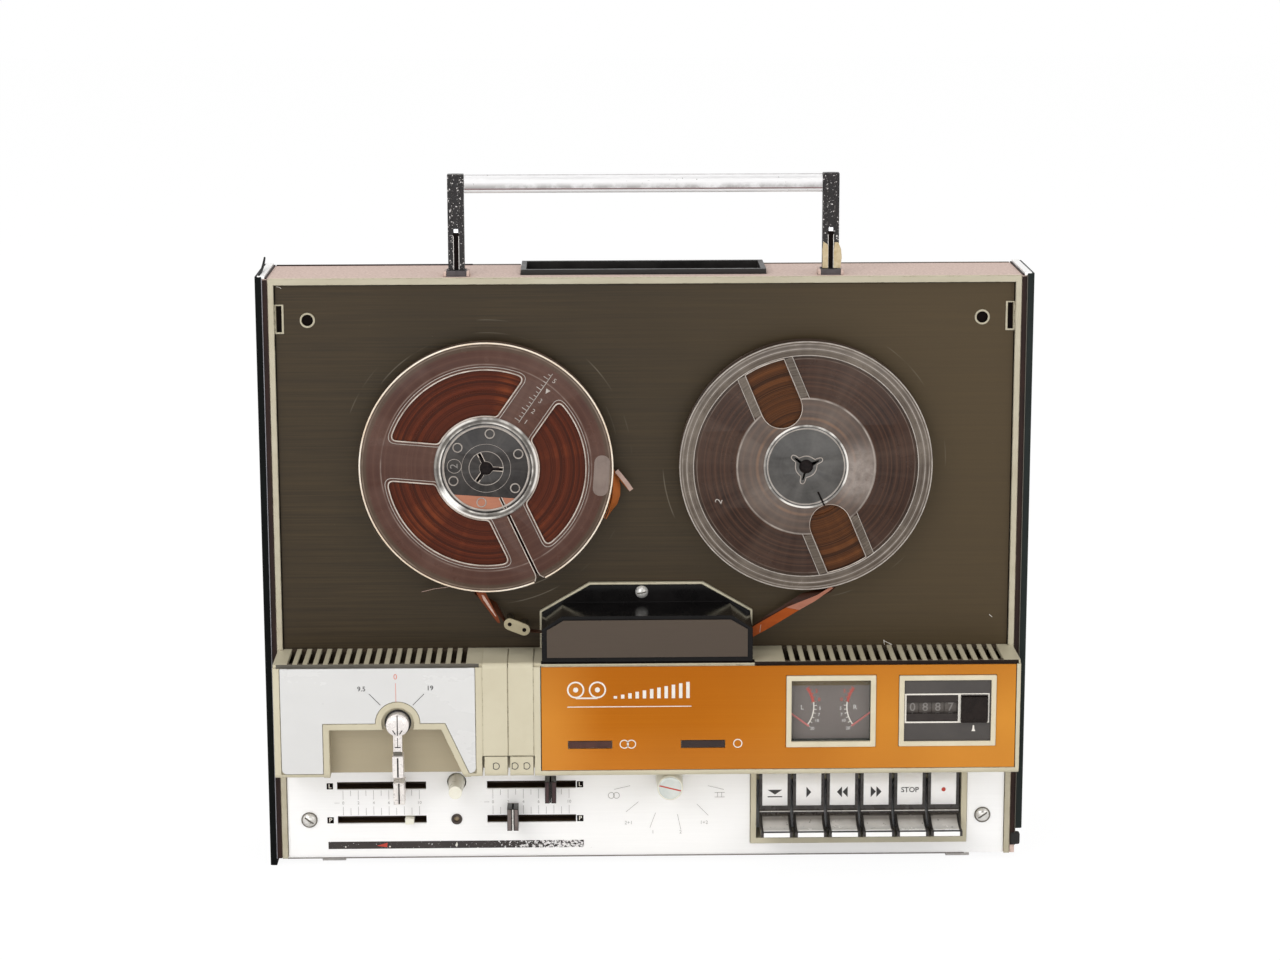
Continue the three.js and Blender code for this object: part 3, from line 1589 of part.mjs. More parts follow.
// Turntable with its spindle and drive disc
const tableFront = reelRear + fit;
const noseFront = flangeFront - spindleTip;
function turntable() {
  const body = turnedY(
    [
      [0, noseFront],
      [spindleNose - spindleTip, noseFront],
      [spindleNose, noseFront + spindleTip],
      [spindleNose, tableFront],
      [tableRadius, tableFront],
      [tableRadius, tableFront + tableThick],
      [spindleRadius, tableFront + tableThick],
      [spindleRadius, driveDiscFront],
      [driveDisc, driveDiscFront],
      [driveDisc, driveDiscFront + driveDiscThick],
      [spindleRadius, driveDiscFront + driveDiscThick],
      [spindleRadius, spindleEnd],
      [0, spindleEnd],
    ],
    0, 0,
  );
  const lobes = hubAngles.map((angle) => {
    const rib = block(
      0, spindleLobe,
      flangeFront, tableFront + fit,
      -spindleLobeWidth / 2, spindleLobeWidth / 2,
    );
    return turned(rib, angle, 0, 0);
  });
  return joined(body, ...lobes);
}

// Reel: hub and two flanges with the same windows
const hubAngles = [0, 1, 2].map((i) => (fullTurn * i) / hubLobes);
function reelBlank(windows) {
  const disc = (y0, y1) => barY(0, 0, reelRadius, y0, y1, rim);
  let body = joined(
    disc(flangeFront, flangeFront + flangeThick),
    disc(reelRear - flangeThick, reelRear),
    barY(0, 0, hubRadius, flangeFront, reelRear, rim),
  );
  body = cut(body, barY(0, 0, hubBore, flangeFront - overrun, reelRear + overrun, coarse));
  for (const angle of hubAngles) {
    const slot = block(
      0, hubSlotReach,
      flangeFront - overrun, reelRear + overrun,
      -hubSlotWidth / 2, hubSlotWidth / 2,
    );
    body = body.subtract(turned(slot, angle, 0, 0));
  }
  for (const window of windows) {
    body = body.subtract(facePlate(window, flangeFront - overrun, packFront - packGap / 2, 8));
    body = body.subtract(facePlate(window, packRear + packGap / 2, reelRear + overrun, 8));
  }
  return body;
}

// A window between two spokes, with rounded corners
function kidney(spokeAngle) {
  const halfSpoke = kidneySpoke / 2;
  const outerStart = Math.asin((halfSpoke + kidneyRound) / kidneyOuter);
  const outerCorner = Math.asin(halfSpoke / kidneyOuter);
  const innerStart = Math.asin((halfSpoke + kidneyRound / 2) / (kidneyInner + packGap));
  const innerCorner = Math.asin(halfSpoke / (kidneyInner + packGap));
  const third = (Math.PI * 2) / 3;
  const first = spokeAngle * degree;
  const second = first + third;
  const inside = kidneyInner + packGap;
  const at = (radius, angle) => [radius * Math.cos(angle), radius * Math.sin(angle)];
  const shape = new THREE.Shape();
  shape.moveTo(...at(kidneyOuter, first + outerStart));
  shape.absarc(0, 0, kidneyOuter, first + outerStart, second - outerStart, false);
  const outSide = Math.asin(halfSpoke / (kidneyOuter - kidneyRound));
  const inSide = Math.asin(halfSpoke / (inside + kidneyRound / 2));
  shape.quadraticCurveTo(
    ...at(kidneyOuter, second - outerCorner),
    ...at(kidneyOuter - kidneyRound, second - outSide),
  );
  shape.lineTo(...at(inside + kidneyRound / 2, second - inSide));
  shape.quadraticCurveTo(...at(inside, second - innerCorner), ...at(inside, second - innerStart));
  shape.absarc(0, 0, inside, second - innerStart, first + innerStart, true);
  shape.quadraticCurveTo(
    ...at(inside, first + innerCorner),
    ...at(inside + kidneyRound / 2, first + inSide),
  );
  shape.lineTo(...at(kidneyOuter - kidneyRound, first + outSide));
  shape.quadraticCurveTo(
    ...at(kidneyOuter, first + outerCorner),
    ...at(kidneyOuter, first + outerStart),
  );
  return shape;
}

// A straight window with a round inner end and an outer end that follows the rim
function straightWindow(angle) {
  const half = slotWidth / 2;
  const turn = new THREE.Vector2(0, 0);
  const points = [];
  const steps = 8;
  const outerAngle = Math.asin(half / slotOuter);
  for (let i = 0; i <= steps; i += 1) {
    const a = -outerAngle + (2 * outerAngle * i) / steps;
    points.push(new THREE.Vector2(slotOuter * Math.cos(a), slotOuter * Math.sin(a)));
  }
  const endMiddle = Math.max(slotInner + half, hubRadius + packGap + half);
  for (let i = 0; i <= steps; i += 1) {
    const a = Math.PI / 2 + (Math.PI * i) / steps;
    points.push(new THREE.Vector2(endMiddle + half * Math.cos(a), half * Math.sin(a)));
  }
  for (const point of points) {
    point.rotateAround(turn, angle * degree);
  }
  return new THREE.Shape(points);
}

const slit = turned(
  block(
    reelSlitStart, reelRadius + overrun,
    flangeFront - overrun, packFront - packGap / 2,
    -reelSlit / 2, reelSlit / 2,
  ),
  reelSlitAngle, 0, 0,
);
const leftReel = cut(reelBlank(hubAngles.map((turn) => kidney(kidneyFirst + turn))), slit);
const rightReel = reelBlank([0, 1].map((i) => straightWindow(slotAngle + (fullTurn * i) / 2)));

// Tape pack: a ring whose outer turn ends in a small step
function tapePack(radius, stepAngle) {
  const shape = new THREE.Shape();
  const start = stepAngle * degree;
  const points = [];
  for (let i = 0; i <= rim; i += 1) {
    const share = i / rim;
    const reach = radius - packStep * share;
    const angle = start - share * Math.PI * 2;
    points.push(new THREE.Vector2(reach * Math.cos(angle), reach * Math.sin(angle)));
  }
  shape.setFromPoints(points);
  const ring = turnedY(
    [
      [packRing, packFront - overrun],
      [packRing + packRingWide, packFront - overrun],
      [packRing + packRingWide, packFront + packRingDeep],
      [packRing, packFront + packRingDeep],
      [packRing, packFront - overrun],
    ],
    0, 0, rim,
  );
  const bore = barY(0, 0, hubRadius + packGap, packFront - overrun, packRear + overrun, rim);
  return cut(facePlate(shape, packFront, packRear), bore, ring);
}

const sides = [
  ["left", -reelX, leftReel, leftPackRadius, -100],
  ["right", reelX, rightReel, rightPackRadius, -66],
];
for (const [side, x, reel, packRadius, stepAngle] of sides) {
  const hub = new THREE.Group();
  hub.position.set(x, 0, reelZ);
  recorder.add(hub);
  place(hub, "turntable_" + side, turntable(), "black");
  place(hub, "reel_" + side, reel, "clear");
  place(hub, "tape_pack_" + side, tapePack(packRadius, stepAngle), "tape");
}

// Tape between the packs: stations of [x, z, twist], the twist in degrees from edge on
const leaveLeft = leftPackRadius + fit + tapeThick;
const leaveRight = rightPackRadius + fit + tapeThick;
const leftLeaveAngle = -97 * degree;
const rightLeaveAngle = -68 * degree;
const guideUnder = guidePost + fit + tapeThick / 2;
const roundPost = (x, z, angle) => [
  x + guideUnder * Math.cos(angle * degree),
  z + guideUnder * Math.sin(angle * degree),
  0,
];
const stations = [
  [-reelX + leaveLeft * Math.cos(leftLeaveAngle), reelZ + leaveLeft * Math.sin(leftLeaveAngle), 0],
  [-reelX + reelRadius * Math.cos(leftLeaveAngle * 0.985), reelZ - reelRadius * 1.02, 10],
  [guideX - guideSpacing, guideZ + guideSpacing, 32],
  roundPost(guideX, guideZ, 206),
  roundPost(guideX, guideZ, 227),
  roundPost(guideX, guideZ, 248),
  roundPost(guideFar[0], guideFar[1], 249),
  roundPost(guideFar[0], guideFar[1], 265),
  [headPlateLeft, tapeLine, 0],
  [capstanX, tapeLine, 0],
  [armPivotX, tapeLine, 0],
  [coverHalf, tapeLine + guidePost, 0],
  [coverHalf + guideSpacing, tapeLine + guideSpacing * 0.75, 42],
  [reelX, reelZ - reelRadius * 1.08, 58],
  [reelX + reelRadius * 0.2, reelZ - reelRadius * 1.01, 22],
  [reelX + leaveRight * Math.cos(rightLeaveAngle), reelZ + leaveRight * Math.sin(rightLeaveAngle), 0],
];
const tapeRings = stations.map(([x, z, twist], i) => {
  const before = stations[Math.max(i - 1, 0)];
  const after = stations[Math.min(i + 1, stations.length - 1)];
  const run = new THREE.Vector3(after[0] - before[0], 0, after[1] - before[1]).normalize();
  const across = new THREE.Vector3(-run.z, 0, run.x);
  const back = new THREE.Vector3(0, 1, 0);
  const wide = back.clone().multiplyScalar(Math.cos(twist * degree));
  wide.addScaledVector(across, Math.sin(twist * degree));
  const thin = across.clone().multiplyScalar(Math.cos(twist * degree));
  thin.addScaledVector(back, -Math.sin(twist * degree));
  const centre = new THREE.Vector3(x, tapeMiddle, z);
  return [[-1, 1], [1, 1], [1, -1], [-1, -1]].map(([w, t]) => {
    const corner = centre.clone();
    corner.addScaledVector(wide, (w * (packWidth - fit)) / 2);
    corner.addScaledVector(thin, (t * tapeThick) / 2);
    return corner.toArray();
  });
});
place(recorder, "tape_run", loft(tapeRings), "tape");

// Motor behind the chassis, its stepped pulley and the belt to the flywheel
const motorPosts = [60, 180, 300].map((angle) =>
  barY(
    motorX + motorPostCircle * Math.cos(angle * degree),
    capstanZ + motorPostCircle * Math.sin(angle * degree),
    motorPost, chassisBack + fit, motorFront + fit, 12,
  ),
);
const motor = joined(
  barY(motorX, capstanZ, motorRadius, motorFront, motorFront + motorLength, fine),
  ...motorPosts,
);
place(recorder, "motor", cut(motor, barY(
  motorX, capstanZ, motorShaft + fit, motorFront - overrun, motorFront + motorLength / 2,
)), "steel");
const pulley = turnedY(
  [
    [0, pulleyFront],
    [pulleySmall, pulleyFront],
    [pulleySmall, pulleyFront + pulleyStep],
    [pulleyRadius, pulleyFront + pulleyStep],
    [pulleyRadius, pulleyFront + pulleyLength],
    [motorShaft, pulleyFront + pulleyLength],
    [motorShaft, motorFront + motorLength / 2 - fit],
    [0, motorFront + motorLength / 2 - fit],
  ],
  0, 0,
);
place(recorder, "motor_pulley", pulley, "steel", motorX, 0, capstanZ);

// Outline of the belt round pulley and flywheel, at a distance from both rims
function beltOutline(margin) {
  const small = pulleyRadius + margin;
  const large = flywheelRadius + margin;
  const lean = Math.acos((small - large) / (capstanX - motorX));
  const shape = new THREE.Shape();
  shape.absarc(motorX, capstanZ, small, lean, Math.PI * 2 - lean, false);
  shape.absarc(capstanX, capstanZ, large, -lean, lean, false);
  return shape;
}
const beltFront = pulleyFront + pulleyStep + fit;
const beltLoop = cut(
  facePlate(beltOutline(fit + beltThick), beltFront, beltFront + beltWide, 16),
  facePlate(beltOutline(fit), beltFront - overrun, beltFront + beltWide + overrun, 16),
);
place(recorder, "drive_belt", beltLoop, "rubber");

// Mains transformer on the chassis: core, coil and feet
const coreFront = chassisBack + fit + transformerFootThick;
const transformer = joined(
  block(
    transformerX - transformerWidth / 2, transformerX + transformerWidth / 2,
    coreFront, coreFront + transformerDepth,
    transformerZ - transformerHeight / 2, transformerZ + transformerHeight / 2,
  ),
  block(
    transformerX - transformerCoil / 2, transformerX + transformerCoil / 2,
    coreFront + transformerFoot, coreFront + transformerDepth - transformerFoot,
    transformerZ - transformerHeight / 2 - transformerCoilOut,
    transformerZ + transformerHeight / 2 + transformerCoilOut,
  ),
  block(
    transformerX - transformerWidth / 2 - transformerFoot,
    transformerX + transformerWidth / 2 + transformerFoot,
    chassisBack + fit, coreFront + fit,
    transformerZ - transformerFoot, transformerZ + transformerFoot,
  ),
);
place(recorder, "mains_transformer", transformer, "copper");

// The origin goes to the middle of the depth, on the surface that the recorder stands on
recorder.position.y = -(consoleFace - leverTipFront + rearEnd) / 2;

export default recorder;
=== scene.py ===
import math

import bmesh
import bpy
from mathutils import Matrix, Vector


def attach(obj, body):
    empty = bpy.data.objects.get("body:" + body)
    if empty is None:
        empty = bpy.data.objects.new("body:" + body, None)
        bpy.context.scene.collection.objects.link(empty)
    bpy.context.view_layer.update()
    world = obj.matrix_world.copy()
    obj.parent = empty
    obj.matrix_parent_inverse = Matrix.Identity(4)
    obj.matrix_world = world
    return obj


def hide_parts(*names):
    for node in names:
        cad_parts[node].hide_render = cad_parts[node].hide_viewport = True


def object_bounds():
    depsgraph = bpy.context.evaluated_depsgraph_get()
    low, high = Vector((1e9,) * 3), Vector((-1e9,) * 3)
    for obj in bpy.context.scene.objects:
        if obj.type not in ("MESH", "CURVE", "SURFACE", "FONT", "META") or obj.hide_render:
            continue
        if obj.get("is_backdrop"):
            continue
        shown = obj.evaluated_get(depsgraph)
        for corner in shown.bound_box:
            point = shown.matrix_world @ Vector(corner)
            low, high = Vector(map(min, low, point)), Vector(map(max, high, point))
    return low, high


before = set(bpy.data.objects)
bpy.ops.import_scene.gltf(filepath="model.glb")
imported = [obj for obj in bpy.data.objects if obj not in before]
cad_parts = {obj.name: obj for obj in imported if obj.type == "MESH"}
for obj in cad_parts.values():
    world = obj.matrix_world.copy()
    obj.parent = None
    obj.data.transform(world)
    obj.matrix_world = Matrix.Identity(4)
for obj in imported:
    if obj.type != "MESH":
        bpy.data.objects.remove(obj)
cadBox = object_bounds()

# All sizes below are millimetres, with y = 0 on the face of the ivory frame
frontPlane = -43.1
sides = ((-1, "Left", "a"), (1, "Right", "b"))
camera = {"place": (-35.67, -1756.7, 596.97), "yaw": 1.052, "pitch": 11.695, "roll": -0.141, "lens": 86.64}
light = {"world": 0.62, "key": 32, "fill": 12, "top": 12, "low": 9, "frontGloss": 0.3}
sweep = {"size": 14, "paper": 0.9, "glow": 1.045, "share": 0.9}


def at(x, y, z):
    return Vector((x, y + frontPlane, z)) / 1000


def tone(code):
    # a colour as it is written on screen, made linear
    parts = [int(code[i : i + 2], 16) / 255 for i in (0, 2, 4)]
    return [c / 12.92 if c < 0.04045 else ((c + 0.055) / 1.055) ** 2.4 for c in parts] + [1]


def lookFrom(spot):
    yaw, pitch, roll = (math.radians(spot[k]) for k in ("yaw", "pitch", "roll"))
    ahead = Vector((math.sin(yaw) * math.cos(pitch), math.cos(yaw) * math.cos(pitch), -math.sin(pitch)))
    right = Vector((math.cos(yaw), -math.sin(yaw), 0))
    above = right.cross(ahead)
    turnedRight = math.cos(roll) * right + math.sin(roll) * above
    turnedUp = math.cos(roll) * above - math.sin(roll) * right
    turn = Matrix((turnedRight, turnedUp, -ahead)).transposed()
    return Matrix.Translation(at(*spot["place"])) @ turn.to_4x4()


print("stage: camera, light and floor")
bpy.ops.object.camera_add()
eye = bpy.context.object
eye.data.lens = camera["lens"]
eye.data.clip_end = 50
eye.matrix_world = lookFrom(camera)
bpy.context.scene.camera = eye
bpy.context.scene.view_settings.view_transform = "Standard"

for name, place, size, aim in (
    ("key", (-1500, -2300, 1900), (1800, 1600), (0, 0, 180)),
    ("fill", (1900, -1900, 1100), (1500, 1500), (0, 0, 180)),
    ("top", (0, 300, 2600), (2600, 2000), (0, 0, 180)),
    ("low", (-200, -2300, 260), (2400, 500), (0, 0, 60)),
):
    bpy.ops.object.light_add(type="AREA", location=at(*place))
    lamp = bpy.context.object
    lamp.name = name + "Lamp"
    lamp.data.shape = "RECTANGLE"
    lamp.data.size, lamp.data.size_y = size[0] / 1000, size[1] / 1000
    lamp.data.energy = light[name]
    lamp.rotation_euler = (at(*aim) - at(*place)).to_track_quat("-Z", "Y").to_euler()


def fill(tree, made, inputs):
    # an input gets a value or the output of another node, and none leaves it as it is
    for key, value in inputs.items():
        if isinstance(value, bpy.types.NodeSocket):
            tree.links.new(value, made.inputs[key])
        elif value is not None:
            made.inputs[key].default_value = value


def node(tree, kind, inputs, **settings):
    made = tree.nodes.new("ShaderNode" + kind)
    for key, value in settings.items():
        setattr(made, key, value)
    fill(tree, made, inputs)
    return made


def ramp(tree, value, low, high, bottom=0.0, top=1.0, soft=False):
    kind = "SMOOTHSTEP" if soft else "LINEAR"
    ends = {"Value": value, "From Min": low, "From Max": high, "To Min": bottom, "To Max": top}
    return node(tree, "MapRange", ends, interpolation_type=kind).outputs[0]


world = bpy.data.worlds.new("studio")
bpy.context.scene.world = world
world.use_nodes = True
sky = world.node_tree
sky.nodes.clear()
ray = node(sky, "LightPath", {}).outputs
seen = node(sky, "Math", {0: ray["Is Camera Ray"], 1: ray["Is Transmission Ray"]}, operation="MAXIMUM")
seenToo = node(sky, "Math", {0: seen.outputs[0], 1: ray["Is Glossy Ray"]}, operation="MAXIMUM")
# the room in front of the recorder is dimmer than the white sweep behind it
way = node(sky, "TexCoord", {}).outputs["Generated"]
dim = ramp(sky, node(sky, "SeparateXYZ", {0: way}).outputs["Y"], -0.95, -0.35, light["frontGloss"])
glossy = node(sky, "Mix", {0: ray["Is Glossy Ray"], 2: 1.0, 3: dim}, data_type="FLOAT")
plain = node(sky, "Background", {"Color": (1, 1, 1, 1), "Strength": light["world"]})
bright = node(sky, "Background", {"Color": (1, 1, 1, 1), "Strength": glossy.outputs[0]})
either = node(sky, "MixShader", {0: seenToo.outputs[0], 1: plain.outputs[0], 2: bright.outputs[0]})
node(sky, "OutputWorld", {0: either.outputs[0]})

bpy.ops.mesh.primitive_plane_add(size=sweep["size"], location=(0, 0, 0))
floor = bpy.context.object
floor.name = "floor"
paper = bpy.data.materials.new("floorPaper")
paper.use_nodes = True
tree = paper.node_tree
tree.nodes.clear()
ray = node(tree, "LightPath", {}).outputs
share = node(tree, "Math", {0: ray["Is Camera Ray"], 1: sweep["share"]}, operation="MULTIPLY")
sheet = node(tree, "BsdfDiffuse", {"Color": (*[sweep["paper"]] * 3, 1)})
glow = node(tree, "Emission", {"Color": (1, 1, 1, 1), "Strength": sweep["glow"]})
mixed = node(tree, "MixShader", {0: share.outputs[0], 1: sheet.outputs[0], 2: glow.outputs[0]})
node(tree, "OutputMaterial", {0: mixed.outputs[0]})
floor.data.materials.append(paper)
floor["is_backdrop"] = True

print("stage: finishes")
reel = {"x": 92.5, "z": 243.1, "front": -11.95, "thick": 1.4, "rear": -3.6}
lx, rx, axleHigh = -reel["x"], reel["x"], reel["z"]


def fresh(name):
    material = bpy.data.materials.new(name)
    material.use_nodes = True
    tree = material.node_tree
    return material, tree, tree.nodes["Principled BSDF"], node(tree, "TexCoord", {}).outputs["Object"]


def noise(tree, place, scale, detail=2.0, rough=0.5, rings=False):
    # rings: the place is a single number, the distance from an axis
    looks = {"W" if rings else "Vector": place, "Scale": scale, "Detail": detail, "Roughness": rough}
    return node(tree, "TexNoise", looks, noise_dimensions="1D" if rings else "3D").outputs["Fac"]


def overlay(tree, factor, colour, code):
    # the colour below is an output, or a code too
    under = tone(colour) if isinstance(colour, str) else colour
    return node(tree, "Mix", {0: factor, 6: under, 7: tone(code)}, data_type="RGBA").outputs[2]


def product(tree, first, *others):
    for other in others:
        first = node(tree, "Math", {0: first, 1: other}, operation="MULTIPLY").outputs[0]
    return first


def scaled(tree, place, size):
    size = size if isinstance(size, tuple) else (size, size, size)
    return node(tree, "Mapping", {"Vector": place, "Scale": [1000 / s for s in size]}).outputs[0]


def axesOf(tree, place):
    return node(tree, "SeparateXYZ", {0: place}).outputs


def along(tree, axis, low, high, bottom=0.0, top=1.0, soft=False):
    # a ramp between two places in millimetres
    return ramp(tree, axis, low / 1000, high / 1000, bottom, top, soft)


def centred(tree, place, x, z):
    # the vector from a round part's axis, flat in the plane of the deck
    moved = node(tree, "Mapping", {"Vector": place, "Location": (-x / 1000, 0, -z / 1000)}).outputs[0]
    return node(tree, "VectorMath", {0: moved, 1: (1, 0, 1)}, operation="MULTIPLY").outputs[0]


def lengthOf(tree, vector):
    return node(tree, "VectorMath", {0: vector}, operation="LENGTH").outputs["Value"]


def outward(tree, spoke):
    return node(tree, "VectorMath", {0: spoke}, operation="NORMALIZE").outputs[0]


def nearTo(tree, value, middle, half, top=1.0, core=None):
    # full within the core about the middle, fading to none at half a width on both sides
    off = node(tree, "Math", {0: value, 1: middle / 1000}, operation="SUBTRACT").outputs[0]
    off = node(tree, "Math", {0: off}, operation="ABSOLUTE").outputs[0]
    return along(tree, off, half, core or half / 5, top=top)


def patchAt(tree, place, x, z, reach, core, top):
    return along(tree, lengthOf(tree, centred(tree, place, x, z)), reach, core, top=top, soft=True)


def finish(name, colour, second, size, rough, metal=0.0, shine=0.5, bump=0.0, grain=1.0, depth=0.1,
        cells=False, edge=0.0, wear=None, marks=None):
    # in millimetres: size of the mottling, grain and depth of the relief, edge for corners that look rounded
    # wear: colour and size of rubbed edges. marks: colour of sparse specks, how rare they are, and their size
    material, tree, shader, place = fresh(name)
    cloud = noise(tree, scaled(tree, place, size), 1.0, 5.0, 0.62)
    colour = overlay(tree, ramp(tree, cloud, 0.32, 0.68), colour, second)
    normal = node(tree, "Bevel", {"Radius": edge / 1000}, samples=4).outputs[0] if edge else None
    if wear:
        face = node(tree, "NewGeometry", {}).outputs["True Normal"]
        alike = node(tree, "VectorMath", {0: normal, 1: face}, operation="DOT_PRODUCT").outputs["Value"]
        specks = noise(tree, place, 1000 / wear[1], 4.0, 0.7)
        rubbed = product(tree, ramp(tree, alike, 0.99, 0.85), ramp(tree, specks, 0.48, 0.6))
        colour = overlay(tree, rubbed, colour, wear[0])
    if marks:
        code, rare, across = (*marks, 1.6)[:3]
        dots = noise(tree, place, 1000 / across, 3.0)
        colour = overlay(tree, ramp(tree, dots, rare, rare + 0.03), colour, code)
    if bump:
        fine = scaled(tree, place, grain)
        if cells:
            height = node(tree, "TexVoronoi", {"Vector": fine, "Scale": 1.0}, feature="F1").outputs["Distance"]
        else:
            height = noise(tree, fine, 1.0, 4.0, 0.6)
        relief = {"Strength": bump, "Distance": depth / 1000, "Height": height, "Normal": normal}
        normal = node(tree, "Bump", relief).outputs[0]
    fill(tree, shader, {"Base Color": colour, "Metallic": metal, "Specular IOR Level": shine, "Normal": normal,
        "Roughness": ramp(tree, cloud, 0.3, 0.7, *rough)})
    return material


vinyl = finish("mauveVinyl", "dcc4b9", "c1a99d", 1.6, (0.62, 0.8), bump=0.7, grain=0.9, depth=0.25, cells=True, edge=0.5)
ivory = finish("ivoryPlastic", "aba28a", "b8b09a", (38, 38, 14), (0.38, 0.5), bump=0.25, grain=0.7, depth=0.05, edge=0.8,
    wear=("6f654c", 5), marks=("77694c", 0.74))
ivoryBack = finish("ivoryRear", "b9af94", "c6bda4", (60, 60, 40), (0.45, 0.6), bump=0.5, grain=1.3, depth=0.12, edge=1.2,
    marks=("8a7d60", 0.73))
paleIvory = finish("paleIvory", "cbc1a6", "d5cbb1", 12, (0.34, 0.45), bump=0.15, grain=0.7, depth=0.04, edge=0.4,
    marks=("8b7d5f", 0.76))
black = finish("blackPlastic", "191716", "24211f", 14, (0.32, 0.5), bump=0.2, grain=0.8, depth=0.04, edge=0.4,
    wear=("5d5751", 1.6), shine=0.35)
handleBlack = finish("handleBlack", "151313", "242020", 4, (0.34, 0.5), bump=0.4, grain=1.2, edge=0.5,
    wear=("a8a19b", 1.4), marks=("cbc6c3", 0.64, 1.15), shine=0.3)
trimBlack, trimSlate = [
    finish(name, one, two, (20, 20, 60), (0.42, 0.55), bump=0.15, grain=(2, 2, 8), depth=0.05, edge=0.8,
        wear=(rubbed, 3), shine=shine)
    for name, one, two, rubbed, shine in (
        ("trimBlack", "0a0b0b", "111413", "262a28", 0.05), ("trimSlate", "171d1b", "202725", "3b413e", 0.15))]
edgeGrey = finish("edgeGrey", "85848a", "9c9ba1", (6, 6, 40), (0.35, 0.5), bump=0.1)
bandGrey = finish("bandGrey", "5d5951", "6b665d", (20, 4, 4), (0.5, 0.65), bump=0.2, shine=0.2)
stepShadeBrown = finish("stepShadeBrown", "231915", "2f231d", (20, 4, 4), (0.5, 0.65), bump=0.2, shine=0.15)
brownBand = finish("brownBand", "261b19", "33241f", (3, 3, 20), (0.5, 0.65), bump=0.3, grain=(0.8, 0.8, 2), depth=0.05,
    shine=0.12)
counterBlack = finish("counterBlack", "3d3835", "45403c", 14, (0.35, 0.5), bump=0.1, edge=0.3)
keyBlack = finish("keyBlack", "2f2b29", "3d3836", 6, (0.2, 0.34), bump=0.15, edge=0.3)
capBrown = finish("capBrown", "17100d", "211814", 6, (0.22, 0.34), bump=0.1, edge=0.3, shine=0.2)
glossBlack = finish("glossBlack", "0d0c0c", "131111", 12, (0.1, 0.2), bump=0.08, grain=3, depth=0.05, edge=0.5,
    marks=("3c3936", 0.74, 1.0), shine=0.16)
oliveInset = finish("oliveInset", "4b4036", "4e4339", (40, 40, 0.7), (0.34, 0.44), metal=0.55, bump=0.2,
    grain=(40, 40, 0.25), depth=0.03, edge=0.2)
satin = finish("satinStrip", "f8f7f6", "fbfaf9", (50, 50, 1.0), (0.36, 0.46), metal=0.1, bump=0.04, grain=(30, 30, 0.3),
    depth=0.02, edge=0.3, marks=("b9b4ae", 0.75))
whiteFascia = finish("whiteFascia", "d0cfcd", "d4d3d1", (70, 70, 30), (0.22, 0.3), bump=0.06, grain=2, depth=0.02, edge=0.3,
    marks=("a9a7a3", 0.76))
chrome = finish("brightMetal", "cfd0d2", "bcbdc0", 6, (0.08, 0.2), metal=1.0, bump=0.05, grain=2, depth=0.02, edge=0.3)
leverMetal = finish("leverMetal", "e2dcd8", "efe9e4", 5, (0.22, 0.34), metal=0.3, bump=0.05, grain=(6, 2, 6), depth=0.02,
    edge=0.4)
screwMetal = finish("screwMetal", "e6e4e0", "cfccc6", 3, (0.18, 0.3), metal=0.4, bump=0.1, depth=0.02, edge=0.3,
    marks=("5c5650", 0.68))
jackNickel = finish("jackNickel", "3c3531", "554c46", 2, (0.3, 0.45), metal=0.5, bump=0.2, edge=0.3)
steel = finish("steel", "8c8d8f", "9c9d9f", (20, 20, 4), (0.35, 0.5), metal=0.9, bump=0.2, grain=(10, 10, 0.6), depth=0.03,
    edge=0.3)
slotEdgeHighlight = finish("slotEdgeHighlight", "b7b2ad", "d0ccc7", (3, 3, 12), (0.25, 0.4), metal=0.6, bump=0.1)
copper = finish("copperCore", "5d4637", "75553f", (8, 8, 3), (0.4, 0.6), metal=0.4, bump=0.3, grain=(30, 0.5, 30), edge=0.3)
board = finish("circuitBoard", "3b2a18", "47341f", 10, (0.5, 0.65), bump=0.2, depth=0.04, edge=0.2)
rubber = finish("rubber", "1a1918", "252322", 5, (0.75, 0.92), bump=0.5, grain=0.8, depth=0.08, edge=0.6)
paleRubber = finish("paleRubber", "cfcdca", "dad8d5", 5, (0.7, 0.9), bump=0.4, grain=0.8, depth=0.06, edge=0.6)
cream = finish("creamKnob", "e2decd", "ebe8da", 8, (0.25, 0.38), bump=0.08, depth=0.02, edge=0.3)
white = finish("whiteLabel", "f6f5f3", "faf9f7", 10, (0.3, 0.42), bump=0.1, depth=0.02, edge=0.2, marks=("c8c4bc", 0.73))
labelWhite = finish("labelWhite", "fefcfa", "fffdfc", 10, (0.3, 0.42), bump=0.1, edge=0.2, shine=0.9)
darkPit = finish("darkPit", "0b0706", "140d0b", 5, (0.6, 0.8), bump=0.2, shine=0.05)
spindleBlack = finish("spindleBlack", "0d0a0a", "241d1c", 1.4, (0.5, 0.7), bump=0.4, shine=0.1)
collarGrey = finish("collarGrey", "4b4648", "5a5557", 3, (0.5, 0.65), bump=0.3, shine=0.2)
wheelGrey = finish("wheelGrey", "534d49", "5e5853", 4, (0.4, 0.5), bump=0.1, shine=0.2)
wheelMask = finish("wheelMask", "2f2927", "37312e", 5, (0.4, 0.5), bump=0.1, shine=0.2)
hazyInk = finish("hazyInk", "77726e", "85807c", 3, (0.3, 0.4), bump=0.05, shine=0.2)
paleRed, redInk, greyInk, darkInk, paleInk, faintInk, needlePaint = [
    finish(*row, 4, (0.4, 0.5), bump=0.05) for row in (
        ("paleRed", "d9826f", "d07462"), ("redInk", "c4402f", "b53526"), ("greyInk", "b9b4b1", "c7c2bf"),
        ("darkInk", "2b2929", "3a3736"), ("paleInk", "d9d3c8", "e6e1d8"), ("faintInk", "a5a2a0", "b2afac"),
        ("needlePaint", "c96c68", "bd5f5c"))]
reelBead = finish("reelBead", "8f857d", "b3aaa1", 7, (0.12, 0.26), bump=0.1, grain=2)
